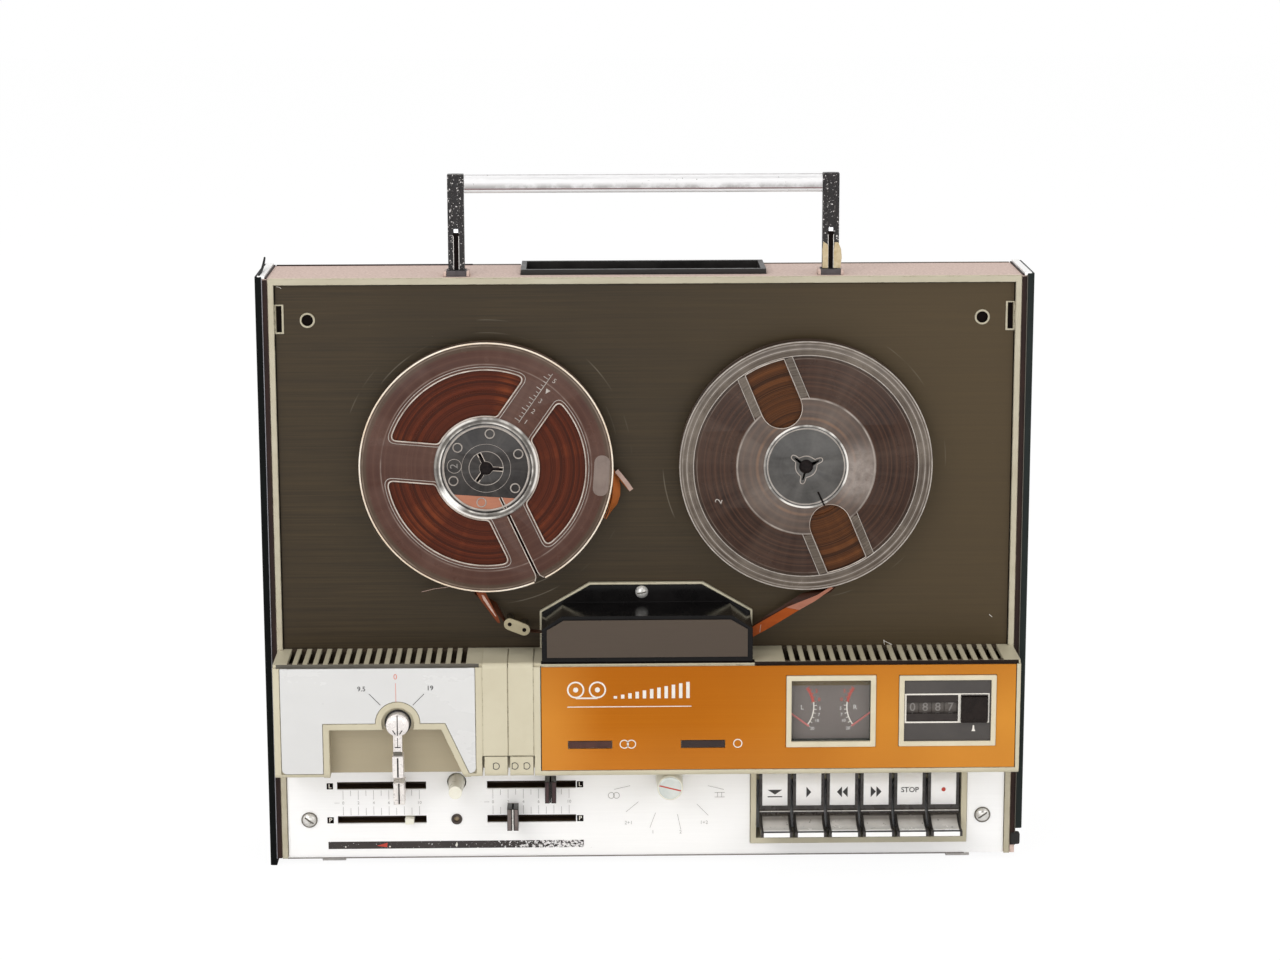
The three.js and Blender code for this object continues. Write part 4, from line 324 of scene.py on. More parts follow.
reelGlint = finish("reelGlint", "998b80", "cfc3b7", 9, (0.12, 0.24), bump=0.1, grain=2)
tapeBrown = finish("tapeBrown", "a8602f", "985428", (20, 4, 4), (0.3, 0.4), shine=0.2, bump=0.1, grain=(8, 1, 8), depth=0.05)
tapePale = finish("tapePale", "a78a7c", "93766a", 6, (0.25, 0.35), bump=0.1)
# painted shadow: the modelled run of tape is painted dark brown, like a tape's back, so that it reads as the shadow of
# the tape faces laid in front of it
tapeRunShade = finish("tapeRunShade", "33190d", "42220f", (20, 4, 4), (0.4, 0.5), bump=0.1, shine=0.15)


def layered(material, layers):
    # layers makes a new colour of the node tree, the place and the colour so far
    tree = material.node_tree
    base = tree.nodes["Principled BSDF"].inputs["Base Color"]
    place = next(n for n in tree.nodes if n.type == "TEX_COORD").outputs["Object"]
    tree.links.new(layers(tree, place, base.links[0].from_socket), base)
    return material


def deckLayers(tree, place, colour):
    # blotches, a paler right side that is painted light, and faint rubbed arcs beside the reels
    colour = overlay(tree, ramp(tree, noise(tree, place, 16.0, 3.0), 0.42, 0.78, top=0.4), colour, "2f2618")
    colour = overlay(tree, along(tree, axesOf(tree, place)["X"], -40, 215, top=0.5, soft=True), colour, "56472f")
    for x, radius in ((lx, 84.5), (lx, 77.0), (rx, 82.5)):
        line = nearTo(tree, lengthOf(tree, centred(tree, place, x, axleHigh)), radius, 0.45, 0.3, core=0.12)
        part = ramp(tree, noise(tree, place, 14.0 + radius / 10), 0.53, 0.64)
        colour = overlay(tree, product(tree, line, part), colour, "978d7c")
    return colour


def consoleLayers(tree, place, colour):
    # painted shade: the hollow behind the lever is darker than the face, where it gets less light
    axes = axesOf(tree, place)
    deep = along(tree, axes["Y"], frontPlane - 34.5, frontPlane - 29)
    under, aside = along(tree, axes["Z"], 98.2, 96.6), along(tree, axes["X"], -96, -99)
    return overlay(tree, product(tree, deep, under, aside), colour, "a3977d")


def guideLayers(tree, place, colour):
    # the plate is ivory, and the posts behind it are painted dark as shade
    return overlay(tree, along(tree, axesOf(tree, place)["Y"], frontPlane - 14.9, frontPlane - 14.6), colour, "2b2318")


def gripLayers(tree, place, colour):
    # painted shade: a darker, patchy band along the lower edge, and a faint line along the top
    high = axesOf(tree, place)["Z"]
    patchy = ramp(tree, noise(tree, place, 90.0, 6.0, 0.7), 0.34, 0.56, 0.3)
    part = product(tree, along(tree, high, 401.8, 402.1), patchy)
    for low, full, top, shade in ((406.2, 403.4, 0.85, "8a8684"), (409.7, 410.1, 0.55, "a09c9c")):
        colour = overlay(tree, product(tree, along(tree, high, low, full, top=top), part), colour, shade)
    return colour


def leverLayers(tree, place, colour):
    # a dark groove runs down the middle of the lever's tip
    axes = axesOf(tree, place)
    line = nearTo(tree, axes["X"], -144.8, 0.55, core=0.4)
    below, above = along(tree, axes["Z"], 78.7, 78.4), along(tree, axes["Z"], 66.7, 67)
    return overlay(tree, product(tree, line, below, above), colour, "1b1514")


def orangeLayers(tree, place, colour):
    # painted light and shade: paler towards both ends and below, darker above, with a slow cloud of tone over all
    axes = axesOf(tree, place)
    colour = overlay(tree, along(tree, axes["X"], -20, -62, top=0.8, soft=True), colour, "d18a34")
    colour = overlay(tree, along(tree, axes["X"], 20, 215, top=0.9, soft=True), colour, "dd973a")
    colour = overlay(tree, along(tree, axes["Z"], 98, 131, top=0.45), colour, "9c5200")
    colour = overlay(tree, along(tree, axes["Z"], 96, 70, top=0.4), colour, "cf8434")
    return overlay(tree, ramp(tree, noise(tree, place, 9.0), 0.4, 0.7, top=0.25), colour, "8d4f0e")


def flakedLayers(tree, place, colour):
    # black paint that has come off more and more towards the right end
    more = along(tree, axesOf(tree, place)["X"], -98, -58, top=0.17)
    chips = node(tree, "Math", {0: noise(tree, place, 620.0, 5.0, 0.65), 1: more}, operation="ADD").outputs[0]
    return overlay(tree, ramp(tree, chips, 0.645, 0.665), colour, "e4e1e0")


def paddleLayers(tree, place, colour):
    # painted reflection: dark near the ridge, bright at the front
    high = axesOf(tree, place)["Z"]
    colour = overlay(tree, along(tree, high, 24.6, 27, top=0.88), colour, "6c6762")
    return overlay(tree, along(tree, high, 25.2, 24.3, top=0.8), colour, "ecebe9")


def tapeFinish(name, x, dark, pale, line, glint, broad, narrow):
    # hundreds of turns seen edge on: rings of slightly different brown, a matching relief, and painted glints that
    # point outwards
    material, tree, shader, place = fresh(name)
    spoke = centred(tree, place, x, axleHigh)
    away = lengthOf(tree, spoke)
    wide = ramp(tree, noise(tree, away, broad, 3.0, 0.6, rings=True), 0.32, 0.68)
    thin = noise(tree, away, narrow, 4.0, 0.7, rings=True)
    colour = overlay(tree, ramp(tree, thin, 0.5, 0.7, top=0.6), overlay(tree, wide, dark, pale), line)
    fan = ramp(tree, noise(tree, outward(tree, spoke), 2.6), 0.5, 0.72, top=0.55)
    colour = overlay(tree, product(tree, fan, wide), colour, glint)
    bump = node(tree, "Bump", {"Strength": 0.5, "Distance": 0.0002, "Height": thin}).outputs[0]
    fill(tree, shader, {"Base Color": colour, "Specular IOR Level": 0.14, "Normal": bump,
        "Roughness": ramp(tree, thin, 0.3, 0.7, 0.3, 0.48)})
    return material


def lensFinish():
    # see-through moulded plastic, cloudier where it is scratched
    material, tree, shader, place = fresh("lensGlass")
    cloud = noise(tree, place, 25.0, 6.0, 0.7)
    colour = overlay(tree, ramp(tree, cloud, 0.35, 0.65), "9aa09a", "a8ada6")
    fill(tree, shader, {"Base Color": colour, "Roughness": 0.04, "Specular IOR Level": 0.3,
        "Alpha": ramp(tree, cloud, 0.35, 0.7, 0.04, 0.08)})
    return material


def smokedFinish(name, x, colour, second, line, glint, size, rough, turns=0.4, fan=0.3, fine=700, fanScale=3.0,
        shine=0.35, rings=(), lines=(), smudges=()):
    # smoked plastic that shows the turns of tape faintly: tones by radius, fine rings, and painted glints that fan out
    material, tree, shader, place = fresh(name)
    spoke = centred(tree, place, x, axleHigh)
    away, ray = lengthOf(tree, spoke), outward(tree, spoke)
    cloud = noise(tree, place, 1000 / size, 5.0, 0.6)
    thin = noise(tree, away, fine, 4.0, 0.6, rings=True)
    colour = overlay(tree, ramp(tree, cloud, 0.34, 0.66), colour, second)
    colour = overlay(tree, ramp(tree, thin, 0.42, 0.68, top=turns), colour, line)
    for radius, wide, code, top in rings:
        colour = overlay(tree, along(tree, away, radius - wide / 2, radius + wide / 2, top=top), colour, code)
    colour = overlay(tree, ramp(tree, noise(tree, ray, fanScale, 3.0), 0.46, 0.72, top=fan), colour, glint)
    for radius, half, code, top in lines:
        # painted highlight: a moulded line catches the light on part of its round only
        lit = ramp(tree, noise(tree, ray, 1.6 + radius / 20), 0.36, 0.6, 0.25)
        colour = overlay(tree, product(tree, nearTo(tree, away, radius, half, top), lit), colour, code)
    for dullX, dullZ, reach, code, top in smudges:
        # dull where fingers have rubbed it
        grain = ramp(tree, noise(tree, place, 210.0, 6.0, 0.7), 0.3, 0.62, 0.35)
        dull = patchAt(tree, place, dullX, dullZ, reach, reach / 4, top)
        colour = overlay(tree, product(tree, dull, grain), colour, code)
    bump = node(tree, "Bump", {"Strength": 0.12, "Distance": 0.0001, "Height": thin}).outputs[0]
    fill(tree, shader, {"Base Color": colour, "Specular IOR Level": shine, "Normal": bump,
        "Roughness": ramp(tree, cloud, 0.3, 0.7, *rough)})
    return material


def hubRingFinish(name, x, edges, flash=None):
    # clear ring that shows the dark inside, with painted white glints along its rounded edges on parts of the round,
    # and a painted highlight patch
    def layers(tree, place, colour):
        spoke = centred(tree, place, x, axleHigh)
        away, ray = lengthOf(tree, spoke), outward(tree, spoke)
        for radius, half, spread in edges:
            lit = ramp(tree, noise(tree, ray, spread, 3.0), 0.42, 0.56, 0.15)
            colour = overlay(tree, product(tree, nearTo(tree, away, radius, half, 0.95), lit), colour, "e9e4dd")
        if flash is not None:
            colour = overlay(tree, patchAt(tree, place, *polar(x, axleHigh, 28, flash), 11, 4, 0.9), colour, "fbf8f4")
        return colour

    clear = smokedFinish(name, x, "4a4642", "6a655f", "7b756e", "9a948c", 5, (0.12, 0.22), turns=0.3, fan=0.6, fine=800)
    return layered(clear, layers)


deckMetal = layered(finish("deckMetal", "30271a", "413523", (70, 70, 0.9), (0.36, 0.5), metal=0.3, shine=0.28, bump=0.22,
    grain=(60, 60, 0.22), depth=0.03, edge=0.3, marks=("6a6152", 0.77, 1.2)), deckLayers)
orange = layered(finish("orangeMetal", "b06206", "b56809", (150, 150, 0.5), (0.3, 0.38), metal=0.3, shine=0.15, bump=0.1,
    grain=(60, 60, 0.2), depth=0.02, edge=0.3, marks=("e8b46a", 0.79, 1.4)), orangeLayers)
ivoryConsole = layered(finish("ivoryConsole", "bfb69c", "c9c1a8", 50, (0.36, 0.5), bump=0.25, grain=0.7, depth=0.05, edge=0.7,
    wear=("8d8266", 5), marks=("84775b", 0.76)), consoleLayers)
guideIvory = layered(finish("guideIvory", "968b6e", "a39879", 8, (0.36, 0.5), bump=0.2, edge=0.5), guideLayers)
leverLined = layered(finish("leverLined", "e2dcd8", "efe9e4", 5, (0.22, 0.34), metal=0.3, bump=0.05, edge=0.4), leverLayers)
gripMetal = layered(finish("gripMetal", "dcdbdb", "e4e3e3", (30, 3, 3), (0.3, 0.45), metal=0.25, bump=0.25,
    grain=(20, 0.6, 0.6), depth=0.05, edge=0.5, marks=("8d8c8a", 0.72)), gripLayers)
tapeLeft = tapeFinish("tapeLeft", lx, "351103", "511f0b", "6c2f14", "8d4520", 330, 1900)
tapeRight = tapeFinish("tapeRight", rx, "2c1606", "563013", "6c4224", "8c5628", 260, 1500)
reelClear = smokedFinish("reelClearLeft", lx, "442b24", "50352b", "5d4035", "725a4f", 30, (0.2, 0.32), fan=0.32, fine=420,
    shine=0.16, rings=[(69.3, 1.2, "4c4034", 0.75)], lines=[(60.9, 0.5, "9c8d83", 0.5), (71.6, 0.6, "8f8072", 0.6)])
reelClearRight = smokedFinish("reelClearRight", rx, "291b15", "37261e", "54392b", "6b574b", 22, (0.2, 0.34), turns=0.6,
    fine=520, shine=0.16, rings=[(64.0, 1.5, "43392f", 0.6)], lines=[(63.2, 0.4, "81756b", 0.5)])
rimSmoke = smokedFinish("reelRimSmoke", rx, "40342a", "554a3f", "6f6458", "8b8074", 12, (0.18, 0.3), turns=0.5, fan=0.4,
    fine=900, lines=[(69.0, 0.7, "a89d93", 0.5), (71.6, 0.5, "b3a9a0", 0.5)])
reelFrost = smokedFinish("reelStepSmoke", rx, "43362f", "584a41", "6b5446", "7d7066", 14, (0.3, 0.45), fine=420,
    lines=[(39.9, 0.7, "b4a99f", 0.7), (28.4, 1.1, "84634c", 0.6)],
    smudges=[(124, 238, 24, "958a82", 0.85), (70, 226, 16, "7c7067", 0.4)])
reelHub = smokedFinish("reelHubLeft", lx, "1f1c1b", "363230", "3d3936", "57534f", 12, (0.14, 0.24), turns=0.25, fan=0.35,
    fine=300, shine=0.25, lines=[(25.2, 0.6, "b9b4af", 0.8)])
reelHubRight = smokedFinish("reelHubRight", rx, "3c3a38", "54524f", "5d5a57", "7b7773", 13, (0.14, 0.26), turns=0.2,
    fine=260, fanScale=1.3, shine=0.25, lines=[(22.4, 0.7, "cfcac5", 0.8)])
padFrost = smokedFinish("reelPad", lx, "6f5f57", "7e6e65", "85766d", "96897f", 10, (0.4, 0.5), turns=0.2)

for names, material in (
    ("cabinet_sleeve", vinyl),
    ("front_frame", ivory),
    ("tape_guide", guideIvory),
    ("console_housing key_bezel push_tip_left push_tip_right", ivoryConsole),
    ("rear_cover", ivoryBack),
    ("side_trim_left", trimBlack),
    ("side_trim_right", trimSlate),
    ("grip_tray socket_panel meter_housing fader_upper_right fader_lower_right", black),
    ("counter_reset", capBrown),
    ("counter_wheels", wheelGrey),
    ("counter_plate", counterBlack),
    ("turntable_left turntable_right", spindleBlack),
    ("key_pause key_play key_rewind key_forward key_stop key_record", keyBlack),
    ("handle_frame", handleBlack),
    ("handle_grip", gripMetal),
    ("head_cover", glossBlack),
    ("head_cover_inset", oliveInset),
    ("deck_plate", deckMetal),
    ("control_strip", satin),
    ("speed_fascia", whiteFascia),
    ("meter_fascia", orange),
    ("chassis_plate tape_heads motor motor_pulley capstan_flywheel pinch_arm", steel),
    ("drive_belt pinch_roller", rubber),
    ("foot_left foot_right", paleRubber),
    ("mains_transformer", copper),
    ("circuit_board", board),
    ("headphone_jack", jackNickel),
    ("fader_upper_left", leverMetal),
    ("speed_lever", leverLined),
    ("fader_lower_left push_button function_knob", cream),
    ("tape_pack_left", tapeLeft),
    ("tape_pack_right", tapeRight),
    ("needle_left needle_right", needlePaint),
    ("meter_lens", lensFinish()),
    ("reel_left", reelClear),
    ("reel_right", reelClearRight),
    ("tape_run", tapeRunShade),
):
    for name in names.split():
        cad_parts[name].material_slots[0].material = material


# Modelling steps that every piece below uses
def pick(piece=None):
    if bpy.context.mode != "OBJECT":
        bpy.ops.object.mode_set(mode="OBJECT")
    bpy.ops.object.select_all(action="DESELECT")
    if piece:
        piece.select_set(True)
        bpy.context.view_layer.objects.active = piece


def settle(piece, name):
    pick(piece)
    bpy.ops.object.transform_apply(location=True, rotation=True, scale=True)
    piece.name = name
    return piece


def cleanShell(piece, reach=0.000004):
    pick(piece)
    bpy.ops.object.mode_set(mode="EDIT")
    bpy.ops.mesh.select_all(action="SELECT")
    bpy.ops.mesh.remove_doubles(threshold=reach)
    bpy.ops.mesh.normals_make_consistent(inside=False)
    bpy.ops.object.mode_set(mode="OBJECT")
    return piece


def soften(piece, width, steps=2):
    pick(piece)
    edges = piece.modifiers.new("edges", "BEVEL")
    edges.width = width / 1000
    edges.segments = steps
    edges.limit_method = "ANGLE"
    edges.angle_limit = math.radians(30)
    bpy.ops.object.modifier_apply(modifier="edges")
    return piece


def smooth(piece, angle=35):
    pick(piece)
    bpy.ops.object.shade_smooth_by_angle(angle=math.radians(angle))
    return piece


def cutBy(piece, cutter):
    notch = piece.modifiers.new("notch", "BOOLEAN")
    notch.operation = "DIFFERENCE"
    notch.object = cutter
    pick(piece)
    bpy.ops.object.modifier_apply(modifier="notch")
    bpy.data.objects.remove(cutter)


def block(name, x, y, z, edge=0.0, steps=2):
    pick()
    bpy.ops.mesh.primitive_cube_add(size=1, location=at(sum(x) / 2, sum(y) / 2, sum(z) / 2))
    piece = bpy.context.object
    piece.scale = [abs(v[1] - v[0]) / 1000 for v in (x, y, z)]
    settle(piece, name)
    return soften(piece, edge, steps) if edge else piece


def curveOf(name, kind, outlines, closed):
    curve = bpy.data.curves.new(name, "CURVE")
    curve.dimensions = kind
    for outline in outlines:
        spline = curve.splines.new("POLY")
        spline.points.add(len(outline) - 1)
        for point, spot in zip(spline.points, outline):
            point.co = (*spot, 1)
        spline.use_cyclic_u = closed
    return curve


def meshOf(name, curve):
    piece = bpy.data.objects.new(name, curve)
    bpy.context.collection.objects.link(piece)
    pick(piece)
    bpy.ops.object.convert(target="MESH")
    return bpy.context.object


def plate(name, outlines, y, edge=0.0, upright=True):
    # closed outlines in X and Z, given thickness along Y and a rounded edge, or in Y and Z and pushed along X
    curve = curveOf(name, "2D", [[(a / 1000, b / 1000, 0) for a, b in outline] for outline in outlines], True)
    curve.fill_mode = "BOTH"
    curve.extrude = max(abs(y[1] - y[0]) / 2 - edge, 0.001) / 1000
    curve.bevel_depth = edge / 1000
    curve.bevel_resolution = 2
    curve.offset = -edge / 1000
    piece = meshOf(name, curve)
    if upright:
        piece.rotation_euler = (math.pi / 2, 0, 0)
        piece.location = at(0, sum(y) / 2, 0)
    else:
        sideways = Matrix(((0, 0, 1, 0), (1, 0, 0, 0), (0, 1, 0, 0), (0, 0, 0, 1)))
        piece.matrix_world = Matrix.Translation(at(sum(y) / 2, 0, 0)) @ sideways
    return cleanShell(settle(piece, name))


def wire(name, points, radius, closed=False, corners=4):
    curve = curveOf(name, "3D", [[at(*point) for point in points]], closed)
    curve.bevel_depth = radius / 1000
    curve.bevel_resolution = corners
    curve.use_fill_caps = True
    return smooth(cleanShell(settle(meshOf(name, curve), name)))


def bead(name, points, y, radius, closed=True):
    return wire(name, [(a, y, b) for a, b in points], radius, closed, 2)


def turned(name, x, z, profile, steps=48):
    # one corner drawn out along the profile of (radius, y), then spun about the axis
    if profile[0][0]:  # a ring's profile comes back to its start
        profile = profile + profile[:1]
    pick()
    bpy.ops.mesh.primitive_plane_add(size=0.001, location=at(x + profile[0][0], profile[0][1], z))
    piece = bpy.context.object
    bpy.ops.object.mode_set(mode="EDIT")
    bpy.ops.mesh.select_all(action="SELECT")
    bpy.ops.mesh.merge(type="CENTER")
    for (r0, y0), (r1, y1) in zip(profile, profile[1:]):
        step = ((r1 - r0) / 1000, (y1 - y0) / 1000, 0)
        bpy.ops.mesh.extrude_region_move(TRANSFORM_OT_translate={"value": step})
    bpy.ops.mesh.select_all(action="SELECT")
    bpy.ops.mesh.spin(steps=steps, angle=math.tau, center=at(x, 0, z), axis=(0, 1, 0))
    bpy.ops.object.mode_set(mode="OBJECT")
    return smooth(cleanShell(settle(piece, name), 0.00002))


def lettering(name, words, x, z, height, front, turn=0.0, bold=0.0):
    pick()
    bpy.ops.object.text_add()
    letters = bpy.context.object.data
    letters.body = words
    letters.size = height * 1.38 / 1000
    letters.align_x = letters.align_y = "CENTER"
    letters.resolution_u = 3
    letters.extrude = 0.00004
    letters.offset = bold / 1000
    bpy.ops.object.convert(target="MESH")
    piece = bpy.context.object
    stand = Matrix.Rotation(math.pi / 2, 4, "X") @ Matrix.Rotation(math.radians(turn), 4, "Z")
    piece.matrix_world = Matrix.Translation(at(x, front, z)) @ stand
    return cleanShell(settle(piece, name))


def stroke(x0, z0, x1, z1, width, front, thick=0.08, name="stroke"):
    pick()
    bpy.ops.mesh.primitive_cube_add(size=1, location=at((x0 + x1) / 2, front, (z0 + z1) / 2))
    piece = bpy.context.object
    piece.scale = (math.hypot(x1 - x0, z1 - z0) / 1000, thick / 1000, width / 1000)
    piece.rotation_euler = (0, -math.atan2(z1 - z0, x1 - x0), 0)
    return settle(piece, name)


def swing(piece, spot, degrees, axis):
    turn = Matrix.Translation(at(*spot)) @ Matrix.Rotation(math.radians(degrees), 4, axis) @ Matrix.Translation(-at(*spot))
    piece.matrix_world = turn @ piece.matrix_world
    return settle(piece, piece.name)


def together(name, pieces):
    pick(pieces[0])
    for piece in pieces[1:]:
        piece.select_set(True)
    bpy.ops.object.join()
    piece = bpy.context.object
    piece.name = name
    return piece


def copyOf(piece, name, x):
    twin = piece.copy()
    twin.data = piece.data.copy()
    bpy.context.collection.objects.link(twin)
    twin.location.x = x / 1000
    return settle(twin, name)


def dress(piece, material, body="case"):
    piece.data.materials.clear()
    piece.data.materials.append(material)
    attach(piece, body)
    return piece


def about(middle, half):
    return (middle - half, middle + half)


def span(side, near, far):
    # a stretch of x on one side of the middle
    return sorted((side * near, side * far))


def polar(x, z, radius, degrees):
    return (x + radius * math.cos(math.radians(degrees)), z + radius * math.sin(math.radians(degrees)))


def onSpoke(x, z, degrees, points):
    # points given along and across a spoke that leaves the axis at this angle
    c, s = math.cos(math.radians(degrees)), math.sin(math.radians(degrees))
    return [(x + a * c - b * s, z + a * s + b * c) for a, b in points]


def spokeStroke(x, z, degrees, start, end, *rest):
    ends = onSpoke(x, z, degrees, [start, end])
    return stroke(*ends[0], *ends[1], *rest)


def circle(x, z, radius, steps=48, start=0.0, end=360.0):
    count = steps if abs(end - start) >= 360 else steps + 1
    return [polar(x, z, radius, start + (end - start) * i / steps) for i in range(count)]


def hoop(name, x, z, outer, inner, steps, y):
    return plate(name, [circle(x, z, outer, steps), circle(x, z, inner, steps)], y)


def softRect(x0, x1, z0, z1, radius):
    corners = ((x1 - radius, z0 + radius, -90), (x1 - radius, z1 - radius, 0),
        (x0 + radius, z1 - radius, 90), (x0 + radius, z0 + radius, 180))
    return [point for x, z, start in corners for point in circle(x, z, radius, 5, start, start + 90)]


def quad(a, b, c, steps=6):
    points = []
    for i in range(steps + 1):
        t = i / steps
        points.append(tuple((1 - t) ** 2 * a[k] + 2 * t * (1 - t) * b[k] + t * t * c[k] for k in (0, 1)))
    return points


print("stage: case")
case = {"top": 352.22, "sleeveIn": 217.35, "sleeveOut": 220.05, "trimOut": 224.4, "rear": 56.6, "low": (4.2, 9.0),
    "hole": (194.8, 327.8), "pit": (320, 337.1)}
near, far, deep = case["sleeveIn"], case["sleeveOut"], (0.3, case["rear"])
for (side, tag, _), low, edgeLook in zip(sides, case["low"], (edgeGrey, bandGrey)):
    for name, x, y, z, edge, material, slot in (
        ("brownEdge", span(side, near, far - 0.1), (0.15, 0.75), (low, 351.6), 0.15, brownBand, "mauve_vinyl"),
        ("silverEdge", span(side, far + 0.02, far + 0.36), (-0.6, 1.2), (low, 352.6), 0.08, edgeLook, "satin_strip"),
        ("topEdge", span(side, near + 1.3, case["trimOut"] - 1.6), deep, (case["top"], 354.0), 0.25, white, "satin_strip"),
        # painted shadow: a dark line beside the lip, where it steps down
        ("topStepShadow", span(side, near + 0.2, near + 1.25), deep, (case["top"], 352.9), 0.1, brownBand, "black_plastic"),
    ):
        dress(block(name + tag, x, y, z, edge), material)

    x, z = side * case["hole"][0], case["hole"][1]
    ring = turned("lidHoleRing" + tag, x, z, [(3.3, 2.4), (4.3, 2.4), (4.45, 2.6), (4.45, 2.88), (3.3, 2.88)], 36)
    dress(ring, ivory)
    # painted shade: a dark disc deep in each lid hole
    dress(turned("lidHole" + tag, x, z, [(0, 3.4), (3.2, 3.4), (3.35, 3.5), (0, 3.5)], 30), darkPit)
    outer, inner, (pitLow, pitHigh) = span(side, 208.3, 214.2), span(side, 209.5, 212.7), case["pit"]
    rims = [softRect(*outer, pitLow, pitHigh, 0.3), softRect(*inner, pitLow + 1, pitHigh - 0.8, 0.2)]
    dress(plate("catchFrame" + tag, rims, (2.2, 2.88), 0.12), ivory)
    # painted shade: a dark block inside the catch pit
    dress(block("catchPit" + tag, inner, (3.3, 3.9), (pitLow + 0.9, pitHigh - 0.7), 0.1), darkPit)

dress(block("topFrontLine", (-216.8, 216.8), (0.1, 0.8), (352.15, 352.45), 0.1), paleIvory)
dress(block("topRearLine", (-217, -101), (55.4, 56.5), (352.15, 352.95), 0.2), brownBand)
for tag, x in (("Left", (-101, -72.5)), ("Right", (71, 217))):
    dress(block("topRearEdge" + tag, x, (55.7, 56.5), (352.15, 352.75), 0.15), bandGrey)
bottomShade = finish("bottomShade", "6f6965", "8a847f", (30, 3, 3), (0.4, 0.5), bump=0.1)
dress(block("bottomEdgeLine", (-214, 190), (0.5, 1.2), (3.7, 4.3), 0.1), bottomShade)

# sliver of trim that has come loose along the top of the left side and curls up at its rear end
curl = quad((1, 354.3), (22, 355.2), (37, 360.2), 10) + quad((37.6, 359.4), (30, 353.5), (1, 353.5), 10)
dress(plate("looseSliver", [curl], (-222.4, -221.4), 0.12, upright=False), trimBlack)
dress(block("rubberChunk", (217.6, 223.2), (-1.5, 3.5), (9.5, 16.8), 1.2, 3), rubber)
frameLine = [softRect(-213.62, 213.62, 64.4, 348.42, 0.3), softRect(-213.1, 213.1, 64.9, 347.9, 0.3)]
dress(plate("frameShadowLine", frameLine, (2.2, 2.85)), darkPit)


def domedScrew(name, x, z, front, radius, height, slotTurn):
    # a domed head with a slot cut into it, and painted shade as a dark line at the bottom of the slot
    shape = ((0, 0), (0.45, 0.1), (0.78, 0.38), (0.96, 0.75), (1, 1), (0.6, 1), (0, 1))
    head = turned(name, x, z, [(radius * r, front + height * h) for r, h in shape], 36)
    slotCut = stroke(x - radius, z, x + radius, z, radius * 0.24, front + height * 0.02, height * 0.7, "slotCut")
    cutBy(head, swing(slotCut, (x, 0, z), -slotTurn, "Y"))
    shade = stroke(x - radius * 0.74, z, x + radius * 0.74, z, radius * 0.22, front + height * 0.35, 0.06, name + "Slot")
    dress(swing(shade, (x, 0, z), -slotTurn, "Y"), bandGrey)
    return dress(smooth(head, 30), screwMetal)


stripScrew = {"x": 200.6, "z": 27.8, "head": (-1.6, 4.2, 2.3), "turn": 35}
for side, tag, _ in sides:
    x, z = side * stripScrew["x"], stripScrew["z"]
    washer = turned("stripWasher" + tag, x, z, [(2.4, 0.5), (4.6, 0.7), (4.9, 1.2), (4.9, 1.45), (2.4, 1.45)], 36)
    dress(washer, satin)
    # painted shade: a dark ring round the washer's rim
    ring = turned("stripScrewRing" + tag, x, z, [(4.1, 0.3), (4.7, 0.3), (4.85, 0.62), (4.1, 0.62)], 36)
    dress(ring, bandGrey)
    domedScrew("stripScrew" + tag, x, z, *stripScrew["head"], side * stripScrew["turn"])
domedScrew("coverScrew", -2.6, 166.3, -3.6, 3.8, 3.4, 12)

print("stage: handle and tray")
handle = {"legs": (-108.8, 107.2), "legHalf": 4.7, "face": 8.8, "proud": 8.78, "inside": 9.6, "trayTop": 352.15,
    "collarTop": 355.5}
face, proud = (handle["face"], handle["inside"]), (handle["proud"], handle["inside"])
layFlat = (Matrix.Translation((0, frontPlane / 1000, handle["collarTop"] / 1000)) @ Matrix.Rotation(-math.pi / 2, 4, "X")
    @ Matrix.Translation((0, -frontPlane / 1000, 0)))
for i, x in enumerate(handle["legs"]):
    for name, spot, half, y, z, edge, material, slot in (
        # painted shade: dark plates for the inside of the slot and of the pin's hole
        ("legSlot%d", x, 1.3, (8.85, 9.4), (356, 376.5), 0.2, darkPit, "black_plastic"),
        ("legRib%da", x - 2.2, 0.35, face, (380, 409.6), 0.2, handleBlack, "black_plastic"),
        ("legRib%db", x + 2.2, 0.35, face, (380, 409.6), 0.2, handleBlack, "black_plastic"),
        # painted highlights: light lines along the slot's edges
        ("legSlotLine%da", x - 1.55, 0.2, (handle["proud"], 9.4), (356, 375.5), 0.1, slotEdgeHighlight, "steel"),
        ("legSlotLine%db", x + 1.55, 0.2, (handle["proud"], 9.4), (356, 375.5), 0.1, slotEdgeHighlight, "steel"),
        ("legPin%d", x, 1.4, proud, (377.2, 379.6), 0.2, chrome, "bright_metal"),
        ("legPinHole%d", x, 1.7, face, (374.6, 377.1), 0.3, darkPit, "black_plastic"),
        ("legHead%d", x, handle["legHalf"], (8.98, 15.02), (406.6, 410.78), 0.35, handleBlack, "black_plastic"),
    ):
        dress(block(name % i, about(spot, half), y, z, edge), material, "handle")
    for side, _, letter in sides:
        shimX, shimZ = sorted((x + side * 5.75, x + side * 7.35)), (handle["trayTop"], 355.4)
        dress(block("collarShim%d%s" % (i, letter), shimX, (6.3, 17.7), shimZ, 0.3), vinyl)
    rims = [softRect(*about(x, 5.8), 6.5, 17.4, 0.4), softRect(*about(x, 5.1), 8.6, 15.4, 0.2)]
    collar = plate("legCollar%d" % i, rims, (0, 0.7), 0.15)
    collar.matrix_world = layFlat
    dress(settle(collar, "legCollar%d" % i), collarGrey)
    brow = block("collarFront%d" % i, about(x, 5.7), (6.25, 6.65), (handle["trayTop"], handle["collarTop"]), 0.1)
    dress(brow, collarGrey)

